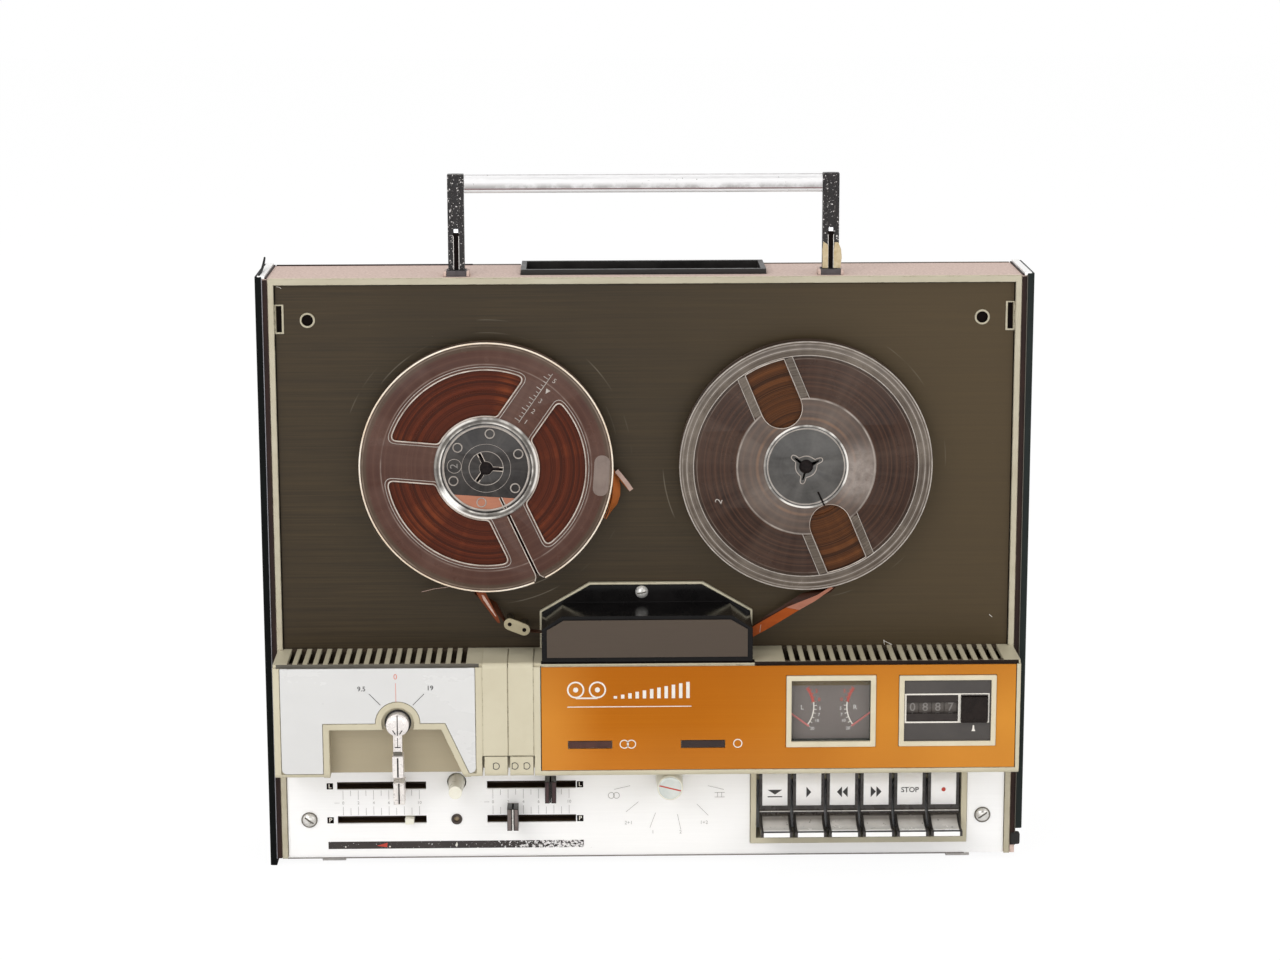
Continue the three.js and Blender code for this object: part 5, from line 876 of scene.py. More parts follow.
# old tape stuck to the right collar: the leg slides behind it
torn = [plate(name, [outline], (8.42, 8.66), 0.05) for name, outline in (
    ("tornLeft", [(102.4, 355.9), (105.6, 355.9), (105.7, 366), (105.5, 369.4), (104.0, 370.6), (102.9, 371.2), (102.3, 366),
        (102.5, 361)]),
    ("tornRight", [(108.9, 355.9), (112.8, 355.9), (113.6, 362), (113.1, 367), (111.5, 370.8), (109.4, 370.9), (108.9, 366)]))]
dress(together("tapeRemnant", torn), finish("oldTape", "c9b998", "b09a72", 4, (0.5, 0.7), bump=0.4))
gripShade = finish("gripShade", "6d5555", "86706f", (20, 3, 3), (0.3, 0.45), bump=0.1)
dress(block("gripUnderLine", (-103.7, 102.1), (8.8, 9.5), (401.9, 402.7), 0.2), gripShade, "handle")

print("stage: reels and tape")


def kidney(x, z, inner, outer, halfSpoke, first, last, corner=4.2):
    # window between the spokes at the angles first and last, with rounded corners
    def off(radius, shift=0.0):
        return math.degrees(math.asin((halfSpoke + shift) / radius))

    def begin(radius, shift=0.0):
        return polar(x, z, radius, first + off(radius, shift))

    def end(radius, shift=0.0):
        return polar(x, z, radius, last - off(radius, shift))

    small = corner * 0.45
    high, low = outer - corner, inner + small
    points = circle(x, z, outer, 28, first + off(outer, corner), last - off(outer, corner))
    points += quad(points[-1], end(outer), end(high))[1:] + quad(end(low), end(inner), end(inner, small))
    points += circle(x, z, inner, 16, last - off(inner, small), first + off(inner, small))[1:]
    points += quad(points[-1], begin(inner), begin(low))[1:]
    return points + quad(begin(high), begin(outer), points[0])[:-1]


def slitDisc(x, z, radius, degrees, half, start, flare):
    # round disc that a narrow slit opens at the rim, with a flared mouth
    mouth = [(radius - flare * 0.6, half + flare * 0.25), (radius - flare * 1.9, half)]
    lower = onSpoke(x, z, degrees, [(a, -b) for a, b in mouth])
    upper = onSpoke(x, z, degrees, mouth)
    opening = math.degrees(math.asin((half + flare) / radius))
    points = circle(x, z, radius, 110, degrees + opening, degrees + 360 - opening)
    points += quad(points[-1], lower[0], lower[1])[1:]
    points += onSpoke(x, z, degrees, [(start, -half), (start - 0.4, 0), (start, half)])
    return points + quad(upper[1], upper[0], points[0])[:-1]


def straightWindow(degrees, half=12.1, inner=25.2, outer=64.4):
    a = math.degrees(math.asin(half / outer))
    return onSpoke(rx, axleHigh, degrees, circle(0, 0, outer, 10, -a, a) + circle(inner + half, 0, half, 18, 90, 270))


def bore(x, z, lobes, neck, first, tip):
    # the hub's bore: a round neck with three narrow lobes
    points = []
    for one, ahead in zip(lobes, lobes[1:]):
        points += circle(x, z, neck, 10, one + first, one + first + 98) + onSpoke(x, z, ahead, tip)
    return points


def onLeft(piece, material):
    return dress(piece, material, "left_spool")


def onRight(piece, material):
    return dress(piece, material, "right_spool")


# left reel: three windows, a slit and an instruction scale on one spoke
leftReel = {"spokes": (-65, 55, 175), "lobes": (-5, 115, 235, 355), "slit": -65.4, "rim": 73.3,
    "pegs": (24, 83.5, 143.4, 201.3, 261.7, 324.5)}
lz, front, slit = axleHigh, reel["front"], leftReel["slit"]
frontDeep, rearDeep = (front, front + reel["thick"]), (reel["rear"], reel["rear"] + reel["thick"])
windows = [kidney(lx, lz, 30.6, 57.7, 11.8, a, a + 120) for a in leftReel["spokes"]]
holes = windows + [circle(lx, lz, 26.4, 64)]
slitRim = slitDisc(lx, lz, leftReel["rim"], slit, 0.7, 28.4, 2.6)
onLeft(smooth(plate("leftFlangeFront", [slitRim] + holes, frontDeep, 0.3)), reelClear)
onLeft(smooth(plate("leftFlangeRear", [circle(lx, lz, leftReel["rim"], 110)] + holes, rearDeep, 0.3)), reelClear)
hubWall = turned("leftHubWall", lx, lz, [(26.3, -12.1), (26.6, -12.5), (27.1, -12.5), (27.4, -12.1), (28.3, -12.1), (28.6, -12.7),
    (29.4, -12.8), (30.0, -12.4), (30.2, -11.95), (30.2, -2.3), (26.3, -2.3)], 96)
onLeft(hubWall, hubRingFinish("hubRingLeft", lx, ((29.5, 1.2, 1.7), (26.9, 0.7, 2.7)), 222))
onLeft(turned("leftHubRib", lx, lz, [(24.2, -12.0), (24.9, -12.15), (25.2, -11.9), (25.2, -11.2), (24.2, -11.2)], 96), reelBead)
keyhole = bore(lx, lz, leftReel["lobes"], 3.7, 11, [(9.2, -0.65), (9.5, 0), (9.2, 0.65)])
onLeft(smooth(plate("leftHubDisc", [circle(lx, lz, 26.2, 80), keyhole], (-11.3, -10.2), 0.12)), reelHub)
onLeft(turned("leftHubBack", lx, lz, [(5.2, -3.6), (26.2, -3.6), (26.2, -2.6), (5.2, -2.6)], 64), rimSmoke)
for k, a in enumerate(leftReel["pegs"]):
    peg = [(2.2, -11.3), (2.45, -11.75), (2.8, -11.75), (3.0, -11.3), (3.0, -4.0), (2.2, -4.0)]
    onLeft(turned("leftHubPeg%d" % k, *polar(lx, lz, 20.4, a), peg, 28), reelBead)
for k, (radius, y, thick) in enumerate(((9.9, -11.42, 0.2), (14.2, -11.33, 0.12))):
    onLeft(bead("leftHubLine%d" % k, circle(lx, lz, radius), y, thick), reelBead)
for k, a in enumerate(leftReel["lobes"][:3]):
    for side, _, letter in sides:
        ends = onSpoke(lx, lz, a, [(3.9, side * 1.1), (9.6, side * 1.1)])
        onLeft(bead("leftHubLobe%d%s" % (k, letter), ends, -11.36, 0.3, False), reelGlint)
    neck = [polar(lx, lz, 3.9, d) for d in range(a + 20, a + 101, 10)]
    onLeft(bead("leftHubNeck%d" % k, neck, -11.34, 0.2, False), reelBead)
for k, (a, window) in enumerate(zip(leftReel["spokes"], windows)):
    onLeft(bead("leftWindowBead%d" % k, window, front + 0.1, 0.42), reelGlint)
    onLeft(bead("leftWindowLine%d" % k, kidney(lx, lz, 28.9, 59.4, 10.2, a, a + 120, 5.6), front + 0.02, 0.24), reelBead)
# painted highlight: the rim's edge catching the light
rimGlow = finish("reelRimGlow", "f4eadb", "dfc6aa", 30, (0.15, 0.3), bump=0.05)
onLeft(bead("leftRimBead", slitDisc(lx, lz, 73.1, slit, 0.9, 60.0, 2.6)[:111], front + 0.2, 0.5, False), rimGlow)
for side, _, letter in sides:
    lip = [(r, side * 0.95) for r in (31, 45, 60, 68.4)] + [(70.6, side * 1.35), (72.6, side * 2.9)]
    onLeft(bead("leftSlitEdge" + letter, onSpoke(lx, lz, slit, lip), front + 0.1, 0.3, False), reelGlint)
    lip = [(19.2, side * 0.75), (26.2, side * 0.75)]
    onLeft(bead("leftHubSlitEdge" + letter, onSpoke(lx, lz, slit, lip), -11.45, 0.32, False), reelGlint)
# painted shade: dark strips in the slits, where the gap shows only shade
onLeft(spokeStroke(lx, lz, slit, (19.2, 0), (26.4, 0), 0.9, -11.42, 0.1, "leftHubSlit"), darkPit)
onLeft(spokeStroke(lx, lz, slit, (30.4, 0), (69, 0), 0.9, -10.5, 0.1, "leftSlitDark"), darkPit)

# scale along the second spoke, with plain numbers
scale = {"turn": 55, "first": 34, "pitch": 2.45, "count": 14, "base": -0.2, "line": 0.38}
turn, base, proud = scale["turn"], scale["base"], front - 0.06
marks = [spokeStroke(lx, lz, turn, (33, base), (67.5, base), scale["line"], proud, 0.12)]
for k in range(scale["count"]):
    r, long = scale["first"] + k * scale["pitch"], 3.4 if k % 3 == 0 else 2.0
    marks.append(spokeStroke(lx, lz, turn, (r, base), (r, base + long), scale["line"], proud, 0.12))
for r, digit in ((35.5, "1"), (43, "2"), (50.3, "3"), (64.5, "5")):
    marks.append(lettering("scaleDigit", digit, *onSpoke(lx, lz, turn, [(r, -3.4)])[0], 2.9, proud, turn - 90))
pointer = onSpoke(lx, lz, turn, [(58.5, -2.0), (55.6, -3.4), (58.5, -4.8)])
marks.append(plate("scalePointer", [pointer], (front - 0.12, front - 0.02)))
onLeft(together("leftScale", marks), reelBead)
onLeft(lettering("leftSideNumber", "2", lx - 18.4, lz + 1.3, 4.6, -11.4, 90), hazyInk)
onLeft(bead("leftNumberRing", circle(lx - 18.4, lz + 1.3, 4.1, 30), -11.32, 0.16), reelBead)
pad = onSpoke(lx, lz, -4, softRect(62.2, 71.2, -12, 12, 4.3))
onLeft(plate("leftFrostedPad", [pad], (front - 0.14, front - 0.02)), padFrost)
leader = plate("leftLeader", [[polar(lx, lz, 25.0, a) for a in range(-142, -42, 4)]], (-11.38, -11.32))
onLeft(leader, finish("leaderTape", "a96a4c", "9c5f43", (12, 4, 4), (0.3, 0.4), bump=0.1))

# right reel: two straight windows with round inner ends, a clear rim band and a stepped middle
rightReel = {"windows": (112.7, -67.5), "lobes": (25, 143, 257, 385), "rim": 73.4, "hub": 23.6, "rib": 14.6}
rz, rib = axleHigh, rightReel["rib"]
outlines = [circle(rx, rz, rightReel["rim"], 110), *map(straightWindow, rightReel["windows"]),
    circle(rx, rz, rightReel["hub"], 64)]
onRight(smooth(plate("rightFlangeFront", outlines, (front + 0.2, frontDeep[1]), 0.25)), reelClearRight)
onRight(smooth(plate("rightFlangeRear", outlines, rearDeep, 0.3)), reelClearRight)
onRight(turned("rightRimBand", rx, rz, [(65.0, -11.9), (65.3, -12.35), (66.2, -12.45), (71.9, -12.45), (73.1, -12.2),
    (73.45, -11.7), (73.3, -11.5), (65.0, -11.5)], 110), rimSmoke)
for k, (radius, y, thick) in enumerate(((65.2, -12.3, 0.32), (73.0, -12.2, 0.4), (69.0, -12.4, 0.16))):
    onRight(bead("rightRimLine%d" % k, circle(rx, rz, radius, 110), y, thick), reelBead)
profile = [(23.6, -12.25), (24.2, -12.4), (39.8, -12.4), (40.6, -12.1), (40.8, -11.8), (23.6, -11.8)]
step = turned("rightStep", rx, rz, profile, 96)
for degrees in rightReel["windows"]:
    cutBy(step, plate("stepCutter", [straightWindow(degrees, 12.2, 25.1, 66)], (-14, -10)))
onRight(smooth(step, 25), reelFrost)
for k, degrees in enumerate(rightReel["windows"]):
    for side, _, letter in sides:
        name = "rightRib%d%s" % (k, letter)
        bar = spokeStroke(rx, rz, degrees, (38, side * rib), (62.8, side * rib), 4.6, front - 0.12, 0.5, name)
        onRight(soften(bar, 0.2), rimSmoke)
        for off, end in ((-2.4, "i"), (2.4, "o")):
            line = [(36 if off * side > 0 else 39, side * rib + off), (63, side * rib + off)]
            line = bead("rightRibLine%d%s%s" % (k, letter, end), onSpoke(rx, rz, degrees, line), front - 0.3, 0.22, False)
            onRight(line, reelBead)
    onRight(bead("rightWindowLine%d" % k, straightWindow(degrees), front - 0.05, 0.32), reelGlint)
keyhole = bore(rx, rz, rightReel["lobes"], 4.0, 10, [(7.9, -0.5), (8.3, 0), (7.9, 0.5)])
onRight(smooth(plate("rightHubDisc", [circle(rx, rz, 23.3, 80), keyhole], (-12.1, -10.8), 0.25)), reelHubRight)
onRight(turned("rightHubBack", rx, rz, [(5.6, -3.6), (23.4, -3.6), (23.4, -2.6), (5.6, -2.6)], 64), rimSmoke)
hubWall = turned("rightHubWall", rx, rz, [(23.4, -12.5), (24.0, -12.6), (24.6, -12.4), (24.6, -2.4), (23.4, -2.4)], 80)
onRight(hubWall, hubRingFinish("hubRingRight", rx, ((24.1, 1.2, 1.7),)))
clover = []
for one, ahead in zip(rightReel["lobes"], rightReel["lobes"][1:]):
    lobe = quad((6.4, -1.5), (10.6, -1.7), (10.4, 0), 5) + quad((10.4, 0), (10.6, 1.7), (6.4, 1.5), 5)
    clover += onSpoke(rx, rz, one, lobe) + circle(rx, rz, 6.2, 5, one + 30, ahead - 30)
onRight(bead("rightHubClover", clover, -12.12, 0.3), reelBead)
onRight(bead("rightHubLine", circle(rx, rz, 22.3, 60), -12.15, 0.28), reelBead)
# painted shade: a dark strip in the hub's slit
onRight(spokeStroke(rx, rz, -65, (16.5, 0), (25.5, 0), 0.9, -12.62, 0.12, "rightHubSlit"), darkPit)
onRight(turned("rightInnerTurns", rx, rz, [(24.7, -9.4), (30.2, -9.4), (30.2, -4.2), (24.7, -4.2)], 80), tapeRight)
onRight(lettering("rightSideNumber", "2", rx - 50.4, rz - 20.2, 4.2, front + 0.1, 70), reelBead)


def ribbon(name, stations, width, thick, material, body="case"):
    # a tape: its flat side turns from the deck's depth towards the viewer along the way
    mesh = bpy.data.meshes.new(name)
    shell = bmesh.new()
    rows = []
    for i, (x, y, z, tilt) in enumerate(stations):
        before = Vector(stations[max(i - 1, 0)][:3])
        after = Vector(stations[min(i + 1, len(stations) - 1)][:3])
        course = (after - before).normalized()
        depth = Vector((0, 1, 0))
        across = course.cross(depth).normalized()
        flat = depth * math.cos(math.radians(tilt)) + across * math.sin(math.radians(tilt))
        proud = course.cross(flat).normalized()
        spots = [Vector((x, y, z)) + flat * (a * width / 2) + proud * (b * thick / 2)
            for a, b in ((-1, -1), (1, -1), (1, 1), (-1, 1))]
        rows.append([shell.verts.new(at(*spot)) for spot in spots])
    for one, two in zip(rows, rows[1:]):
        for k in range(4):
            shell.faces.new((one[k], one[(k + 1) % 4], two[(k + 1) % 4], two[k]))
    shell.faces.new(rows[0][::-1])
    shell.faces.new(rows[-1])
    bmesh.ops.recalc_face_normals(shell, faces=shell.faces)
    shell.to_mesh(mesh)
    shell.free()
    piece = bpy.data.objects.new(name, mesh)
    bpy.context.collection.objects.link(piece)
    return dress(smooth(piece, 40), material, body)


# turns that bulge out past the left reel's rim, and the loose double end beside it
ribbon("bulgedTurn", [(-21.5, -7.0, 244.5, 0), (-19.6, -7.2, 240.5, 12), (-17.9, -7.6, 236.5, 30), (-17.2, -8.0, 231.5, 45),
    (-17.4, -8.0, 226.0, 48), (-18.6, -7.7, 221.0, 38), (-20.8, -7.3, 216.5, 15), (-23.4, -7.0, 212.4, 0)], 6.0, 0.4, tapeBrown)
ribbon("bulgedTurnInner", [(-23.0, -6.6, 243.0, 0), (-20.8, -6.8, 238.5, 14), (-19.2, -7.2, 233.0, 34), (-19.4, -7.2, 225.0, 36),
    (-21.2, -6.9, 218.6, 12), (-24.6, -6.6, 212.6, 0)], 5.8, 0.4, tapeBrown)
ribbon("looseEnd", [(-17.2, -8.2, 240.6, 60), (-14.6, -8.6, 237.4, 62), (-11.6, -8.8, 233.6, 68), (-8.6, -9.0, 229.2, 72)],
    2.6, 0.3, tapePale)
ribbon("looseEndSecond", [(-15.6, -7.6, 236.6, 40), (-12.6, -7.8, 233.0, 44), (-9.8, -8.0, 229.6, 50)], 1.8, 0.3, tapeBrown)
ribbon("looseTail", [(-112.0, -6.8, 172.9, 0), (-117.5, -7.0, 171.6, 8), (-124.0, -7.3, 170.6, 14), (-131.0, -7.4, 169.0, 10)],
    5.2, 0.25, tapePale, "left_spool")

# the run of tape turns its flat side to the viewer beside the head cover
for name, outline, y, edge, look in (
    ("tapeFaceRightLower", [(61.4, 147.0), (81.6, 158.8), (89.2, 157.2), (72.9, 147.1), (62.4, 141.2)], (-10.4, -10.3), 0.02,
        finish("tapeOrange", "8a3d10", "9a4816", (12, 4, 4), (0.25, 0.36), shine=0.1, bump=0.1, grain=(8, 1, 8), depth=0.04)),
    ("tapeFaceRightUpper", [(81.7, 158.85), (99.7, 166.1), (107.2, 170.9), (109.4, 170.5), (98.5, 162.5), (89.3, 157.25)],
        (-10.42, -10.32), 0.02, finish("tapePink", "97604b", "a66e59", (12, 5, 5), (0.25, 0.36), shine=0.2, bump=0.1)),
    ("tapeFaceLeft", [(-99.6, 169.6), (-94.1, 169.6), (-89.0, 158.9), (-86.2, 153.2), (-85.4, 150.6), (-87.0, 150.8),
        (-91.4, 157.1), (-96.3, 163.7)], (-10.4, -10.3), 0.02,
        finish("tapeRust", "5c2c17", "74391c", (5, 5, 9), (0.25, 0.36), shine=0.12, bump=0.1)),
    ("tapeGlintLeft", [(-96.2, 167.6), (-94.9, 167.4), (-91.3, 161.4), (-87.7, 154.6), (-88.3, 154.8), (-92.3, 160.4),
        (-95.2, 164.8)], (-10.46, -10.41), 0.01, finish("tapeShine", "94705f", "c4a99d", 5, (0.2, 0.3), shine=0.3, bump=0.05)),
):
    dress(plate(name, [outline], y, edge), look)
dress(stroke(66.3, 144.0, 66.9, 148.6, 0.35, -10.5, 0.06, "tapeCrease"), tapePale)

print("stage: console front")
speed = {"ink": -35.65, "lever": (-144.8, 97.4), "leverFace": -39.56}
ink, (x, z), low = speed["ink"], speed["lever"], speed["leverFace"]
marks = [stroke(-161.0, 115.3, -154.6, 108.6, 0.34, ink), stroke(-129.3, 115.1, -135.9, 108.4, 0.34, ink)]
for words, spotX, spotZ in (("9.5", -165.4, 118.2), ("19", -125.8, 118.5)):
    marks.append(lettering("speedMark", words, spotX, spotZ, 2.9, ink, bold=0.03))
dress(together("speedNumbers", marks), darkInk)
marks = [stroke(-145.6, 121.6, -145.6, 110.4, 0.28, ink), lettering("speedMark", "0", -145.7, 125.3, 3.3, ink)]
dress(together("speedZero", marks), paleRed)
dress(turned("leverShadowRing", x, z, [(6.75, -33.6), (7.7, -33.6), (7.7, -32.7), (6.75, -32.7)]), black)
dome = [(0, -40.3), (3.4, -40.22), (5.4, -39.95), (6.3, -39.6), (6.5, -39.3), (6.5, -38.8), (0, -38.8)]
dress(turned("leverHubCap", x, z, dome, 40), leverMetal, "speed_lever")
bits = [stroke(x, 103.6, x, 91.6, 0.5, -40.35, 0.1), stroke(x, 90, x, 84, 0.35, low, 0.1),
    stroke(x - 2.5, 84.2, x + 2.5, 84.2, 0.5, low, 0.1)]
bits += [stroke(x + side * 2.8, 94.6, x + side * 1.2, 92.2, 0.5, -40.2, 0.12) for side in (-1, 1)]
dress(together("leverLines", bits), darkPit, "speed_lever")
dress(block("leverKnurl", about(x, 2.6), (-40.1, -39.4), (79.4, 81.6), 0.08), bandGrey, "speed_lever")
for side, _, letter in sides:
    rail = block("leverRail" + letter, sorted((x + side * 1.7, x + side * 2.55)), (-39.95, -39.3), (79.2, 92.0), 0.2)
    dress(rail, leverMetal, "speed_lever")

marks = [stroke(x, 131.3, x, 68.2, 0.35, -35.66, 0.1) for x in (213.95, -61.8)]
dress(together("fasciaShadowLine", marks), darkPit)
for k, x in enumerate((-212.4, -103.9)):
    dress(plate("fasciaCorner%d" % k, [softRect(x, x + 4, 126.4, 130.55, 0.6)], (-35.64, -35.5)), whiteFascia)

# painted shade in the step over each fascia and in the gap under the head cover, and dark vent ends where the ribs are
# lost in shadow
ledge = {"back": -33.0, "low": 130.72, "top": 132.42, "ventRows": ((-206.8, 18), (81.4, 22)), "ventPitch": 5.9}
back, low, top = ledge["back"], ledge["low"], ledge["top"]
for tag, x, material in (("Left", (-214.6, -97.5), bandGrey), ("Right", (62.2, 215.4), stepShadeBrown)):
    bands = [block("riser", x, (back - 0.16, back - 0.02), (low + 0.12, top - 0.05), 0.03),
        block("tread", x, (-35.5, back - 0.02), (low + 0.02, low + 0.14), 0.03)]
    dress(together("stepShadeBand" + tag, bands), material)
bands = [block("riser", (-61.5, 62.2), (back - 0.16, back - 0.02), (131.7, top - 0.05), 0.03),
    block("tread", (-61.5, 62.2), (-33.9, -28.5), (top, top + 0.12), 0.03)]
dress(together("coverGap", bands), darkPit)
ends = []
for first, count in ledge["ventRows"]:
    for k in range(count):
        x = first + k * ledge["ventPitch"]
        for half, y, z in ((1.5, (-32.95, -30.45), (top, top + 0.07)), (1.5, (-0.75, 2.5), (top, top + 0.07)),
                (1.48, (-0.9, -0.72), (124, top + 0.05))):
            ends.append(block("ventEnd", about(x, half), y, z))
dress(together("ventEnds", ends), finish("ventShade", "2c2012", "3a2a17", (8, 4, 4), (0.6, 0.75), bump=0.2))

for k, (x, one, two) in enumerate(((-46.0, "3a1c14", "4a2318"), (19.6, "1e100d", "2a1611"))):
    lamp = block("signalWindow%d" % k, (x + 0.05, x + 25.15), (-35.3, -34.9), (81.65, 85.85), 0.15)
    dress(lamp, finish("signalGlass%d" % k, one, two, 6, (0.12, 0.22), bump=0.05))

# generic signs on the orange panel: two reels with a tape under them, rising bars, and plain rings
sign = {"front": -35.62, "reels": (-41.6, -29.0), "bars": 11, "barPitch": 4.2}
thin, middle, (x0, x1) = (sign["front"] - 0.1, sign["front"]), sign["front"] - 0.05, sign["reels"]
marks = [hoop("signRing", x, 116.8, 5.0, 4.1, 40, thin) for x in (x0, x1)]
marks += [plate("signHub", [circle(x, 116.8, 1.5, 24)], thin) for x in (x0, x1)]
marks += [stroke(x0, 111.8, x1, 111.8, 0.9, middle, 0.1), stroke(-46.6, 106.6, 25.4, 106.6, 0.5, middle, 0.1)]
for k in range(sign["bars"]):
    x = -18.6 + k * sign["barPitch"]
    marks.append(stroke(x, 111.5, x, 113.0 + k * 0.82, 2.0, middle, 0.1))
marks += [hoop("plainRing", x, 84.0, 2.7, 2.1, 30, thin) for x in (-13.6, -9.4, 52.4)]
dress(together("panelSigns", marks), paleInk)

tips = {"front": -35.97, "z": 71.4}
for name, places, body in (("tipSignA", (-88.2,), "push_tip_left"), ("tipSignB", (-77.3, -70.4), "push_tip_right")):
    marks = []
    for x in places:
        bow = circle(x, tips["z"], 2.2, 20, -140, 140) + circle(x, tips["z"], 1.75, 20, -140, 140)[::-1]
        marks.append(plate("tipBow", [bow], about(tips["front"], 0.05)))
        marks.append(stroke(x - 1.5, 69.7, x - 1.5, 73.1, 0.42, tips["front"], 0.1))
    dress(together(name, marks), darkInk, body)

print("stage: meter and counter")
meter = {"x": (80.5, 132.5), "z": (81.6, 124.4), "face": -36.75, "pivots": (78.5, 134.5), "height": 104.2, "dial": -29.95}
dial = meter["dial"]
ink, middle = (dial - 0.04, dial - 0.01), dial - 0.025
rims = [softRect(*meter["x"], *meter["z"], 0.6), softRect(83.5, 129.4, 84.8, 121.4, 0.3)]
dress(plate("meterFrame", rims, (meter["face"], -34.3), 0.25), paleIvory)
dialPaint = finish("meterDialPaint", "655a56", "6d615d", 14, (0.35, 0.5), bump=0.08)
dress(block("meterDial", (83.7, 129.3), (dial, dial + 0.25), (84.9, 121.4), 0.05), dialPaint)
dialShade = finish("meterShade", "5a4312", "624b19", 14, (0.4, 0.5), bump=0.08)
dress(block("meterTopShade", (83.7, 129.3), (dial - 0.045, dial), (116.9, 121.4)), dialShade)
whites, reds, greys = [], [], []
for pivot, side in zip(meter["pivots"], (1, -1)):
    def around(radius, degrees):
        a, b = polar(0, meter["height"], radius, degrees)
        return (pivot + side * a, b)

    def scaleBand(name, inner, outer, start, end):
        angles = [start + (end - start) * i / 20 for i in range(21)]
        return plate(name, [[around(outer, a) for a in angles] + [around(inner, a) for a in angles[::-1]]], ink)

    whites.append(scaleBand("scaleArc", 18.0, 18.75, -37, 9))
    reds.append(scaleBand("scaleArcRed", 17.5, 18.9, 9, 37))
    for a in (-37, -29, -20, -12, -5, 2, 9):
        whites.append(stroke(*around(18.6, a), *around(20.1, a), 0.4, middle, 0.03))
    for a in (9, 17, 24, 31, 37):
        reds.append(stroke(*around(17.2, a), *around(20.0, a), 0.5, middle, 0.03))
    for a, words in ((-37, "20"), (-23, "10"), (-13, "7"), (-3, "5")):
        greys.append(lettering("scaleNumber", words, *around(22.0, a), 1.9, middle, bold=0.05))
    for a, words in ((11, "0"), (25, "3")):
        reds.append(lettering("scaleNumber", words, *around(21.9, a), 2.1, middle, bold=0.05))
for letter, x, z in (("L", 90.1, 103.7), ("R", 120.9, 103.6)):
    greys.append(lettering("sideLetter", letter, x, z, 2.9, middle, bold=0.06))
dress(together("meterWhiteInk", whites), paleInk)
dress(together("meterRedInk", reds), redInk)
dress(together("meterGreyInk", greys), greyInk)

counter = {"x": (146.0, 202.4), "z": (81.7, 124.1), "axis": (0, -24.3, 104.2), "first": 150.4, "wheel": 7.375,
    "shown": (0, 8, 8, 7)}
rims = [softRect(*counter["x"], *counter["z"], 0.6), softRect(149.0, 199.5, 84.6, 121.2, 0.3)]
dress(plate("counterFrame", rims, (meter["face"], -35.3), 0.25), paleIvory)
windowRims = [softRect(149.3, 181.6, 95.3, 113.0, 0.2), softRect(150.3, 180.4, 96.2, 112.1, 0.2)]
resetRims = [softRect(181.3, 198.6, 95.3, 113.0, 0.2), softRect(181.9, 197.9, 95.8, 112.3, 0.2)]
arrow = [(188.4, 90.2), (190.6, 90.2), (190.1, 91.6), (189.9, 93.8), (189.1, 93.8), (188.9, 91.6)]
lines = [plate("windowLine", windowRims, (-35.42, -35.22), 0.05), plate("resetLine", resetRims, (-35.38, -35.22), 0.05),
    plate("arrow", [arrow], (-35.36, -35.22))]
dress(together("counterLines", lines), paleInk)
digits = []
for wheel, shown in enumerate(counter["shown"]):
    x = counter["first"] + (wheel + 0.5) * counter["wheel"]
    for k in range(10):
        digit = lettering("wheelDigit", str(k), x, counter["axis"][2], 5.2, -33.3, bold=0.06)
        digits.append(swing(digit, counter["axis"], (k - shown) * 36, "X"))
dress(together("wheelDigits", digits), hazyInk, "counter_wheels")
for k, z in enumerate(((96.3, 100.8), (107.8, 112.0))):
    dress(block("counterMask%d" % k, (150.3, 180.3), (-34.9, -34.6), z, 0.1), wheelMask)
dress(block("resetCap", (182.5, 196.6), (-37.35, -37.0), (96.4, 110.5), 0.15), capBrown, "counter_reset")

print("stage: silver strip")
strip = {"face": 1.42, "rows": (-180.4, -91.4), "pitch": 4.53, "ticks": 11,
    "labels": ((-188.1, 48.3, "L"), (-188.1, 27.2, "P"), (-39.5, 48.4, "L"), (-39.5, 27.3, "P"))}
face = strip["face"]
thin, raised = (face - 0.04, face + 0.04), (face - 0.1, face - 0.04)
squares, letters, ticks, numbers = [], [], [], []
for x, z, letter in strip["labels"]:
    squares.append(plate("labelSquare", [softRect(*about(x, 1.9), *about(z, 1.9), 0.3)], (face - 0.02, face + 0.1)))
    letters.append(lettering("labelLetter", letter, x, z, 2.7, face - 0.05, bold=0.05))
dress(together("labelSquares", squares), darkPit)
dress(together("labelLetters", letters), paleInk)
for first in strip["rows"]:
    for k in range(strip["ticks"]):
        x = first + k * strip["pitch"]
        ticks.append(stroke(x, 45.6, x, 42.2 if k % 2 else 39.9, 0.24, face))
        ticks.append(stroke(x, 30.3, x, 34.7 if k % 2 else 35.6, 0.24, face))
        if k % 2 == 0:
            numbers.append(lettering("tickNumber", str(k), x, 37.8, 1.9, face))
    ticks.append(stroke(first - 5.2, 37.9, first - 2.2, 37.9, 0.2, face))
dress(together("faderTicks", ticks), faintInk)
dress(together("faderNumbers", numbers), faintInk)

knob = {"x": 13.5, "z": 52.6, "marks": (-14, -46, -78, -110, -140, -167), "from": 23.8, "to": 33.6}
x, z = knob["x"], knob["z"]
marks = [spokeStroke(x, z, a, (knob["from"], 0), (knob["to"], 0), 0.26, face) for a in knob["marks"]]
for spotX, spotZ, words in ((-10.7, 24.2, "2+1"), (3.8, 18.3, "1"), (20.3, 18.2, "2"), (34.3, 24.0, "1+2")):
    marks.append(lettering("modeNumber", words, spotX, spotZ, 2.2, face))
marks += [hoop("modeRing", a, 41.3, 2.0, 1.65, 24, thin) for a in (-20.9, -17.9)]
marks += [stroke(*row, 0.3, face) for row in (
    (40.6, 39.8, 46.6, 39.8), (40.6, 42.6, 46.6, 42.6), (42.4, 39.8, 42.4, 42.6), (44.8, 39.8, 44.8, 42.6))]
dress(together("modeMarks", marks), faintInk)
pearl = finish("knobPearl", "cdd3cf", "e0e3dd", 7, (0.15, 0.25), metal=0.3, bump=0.05)
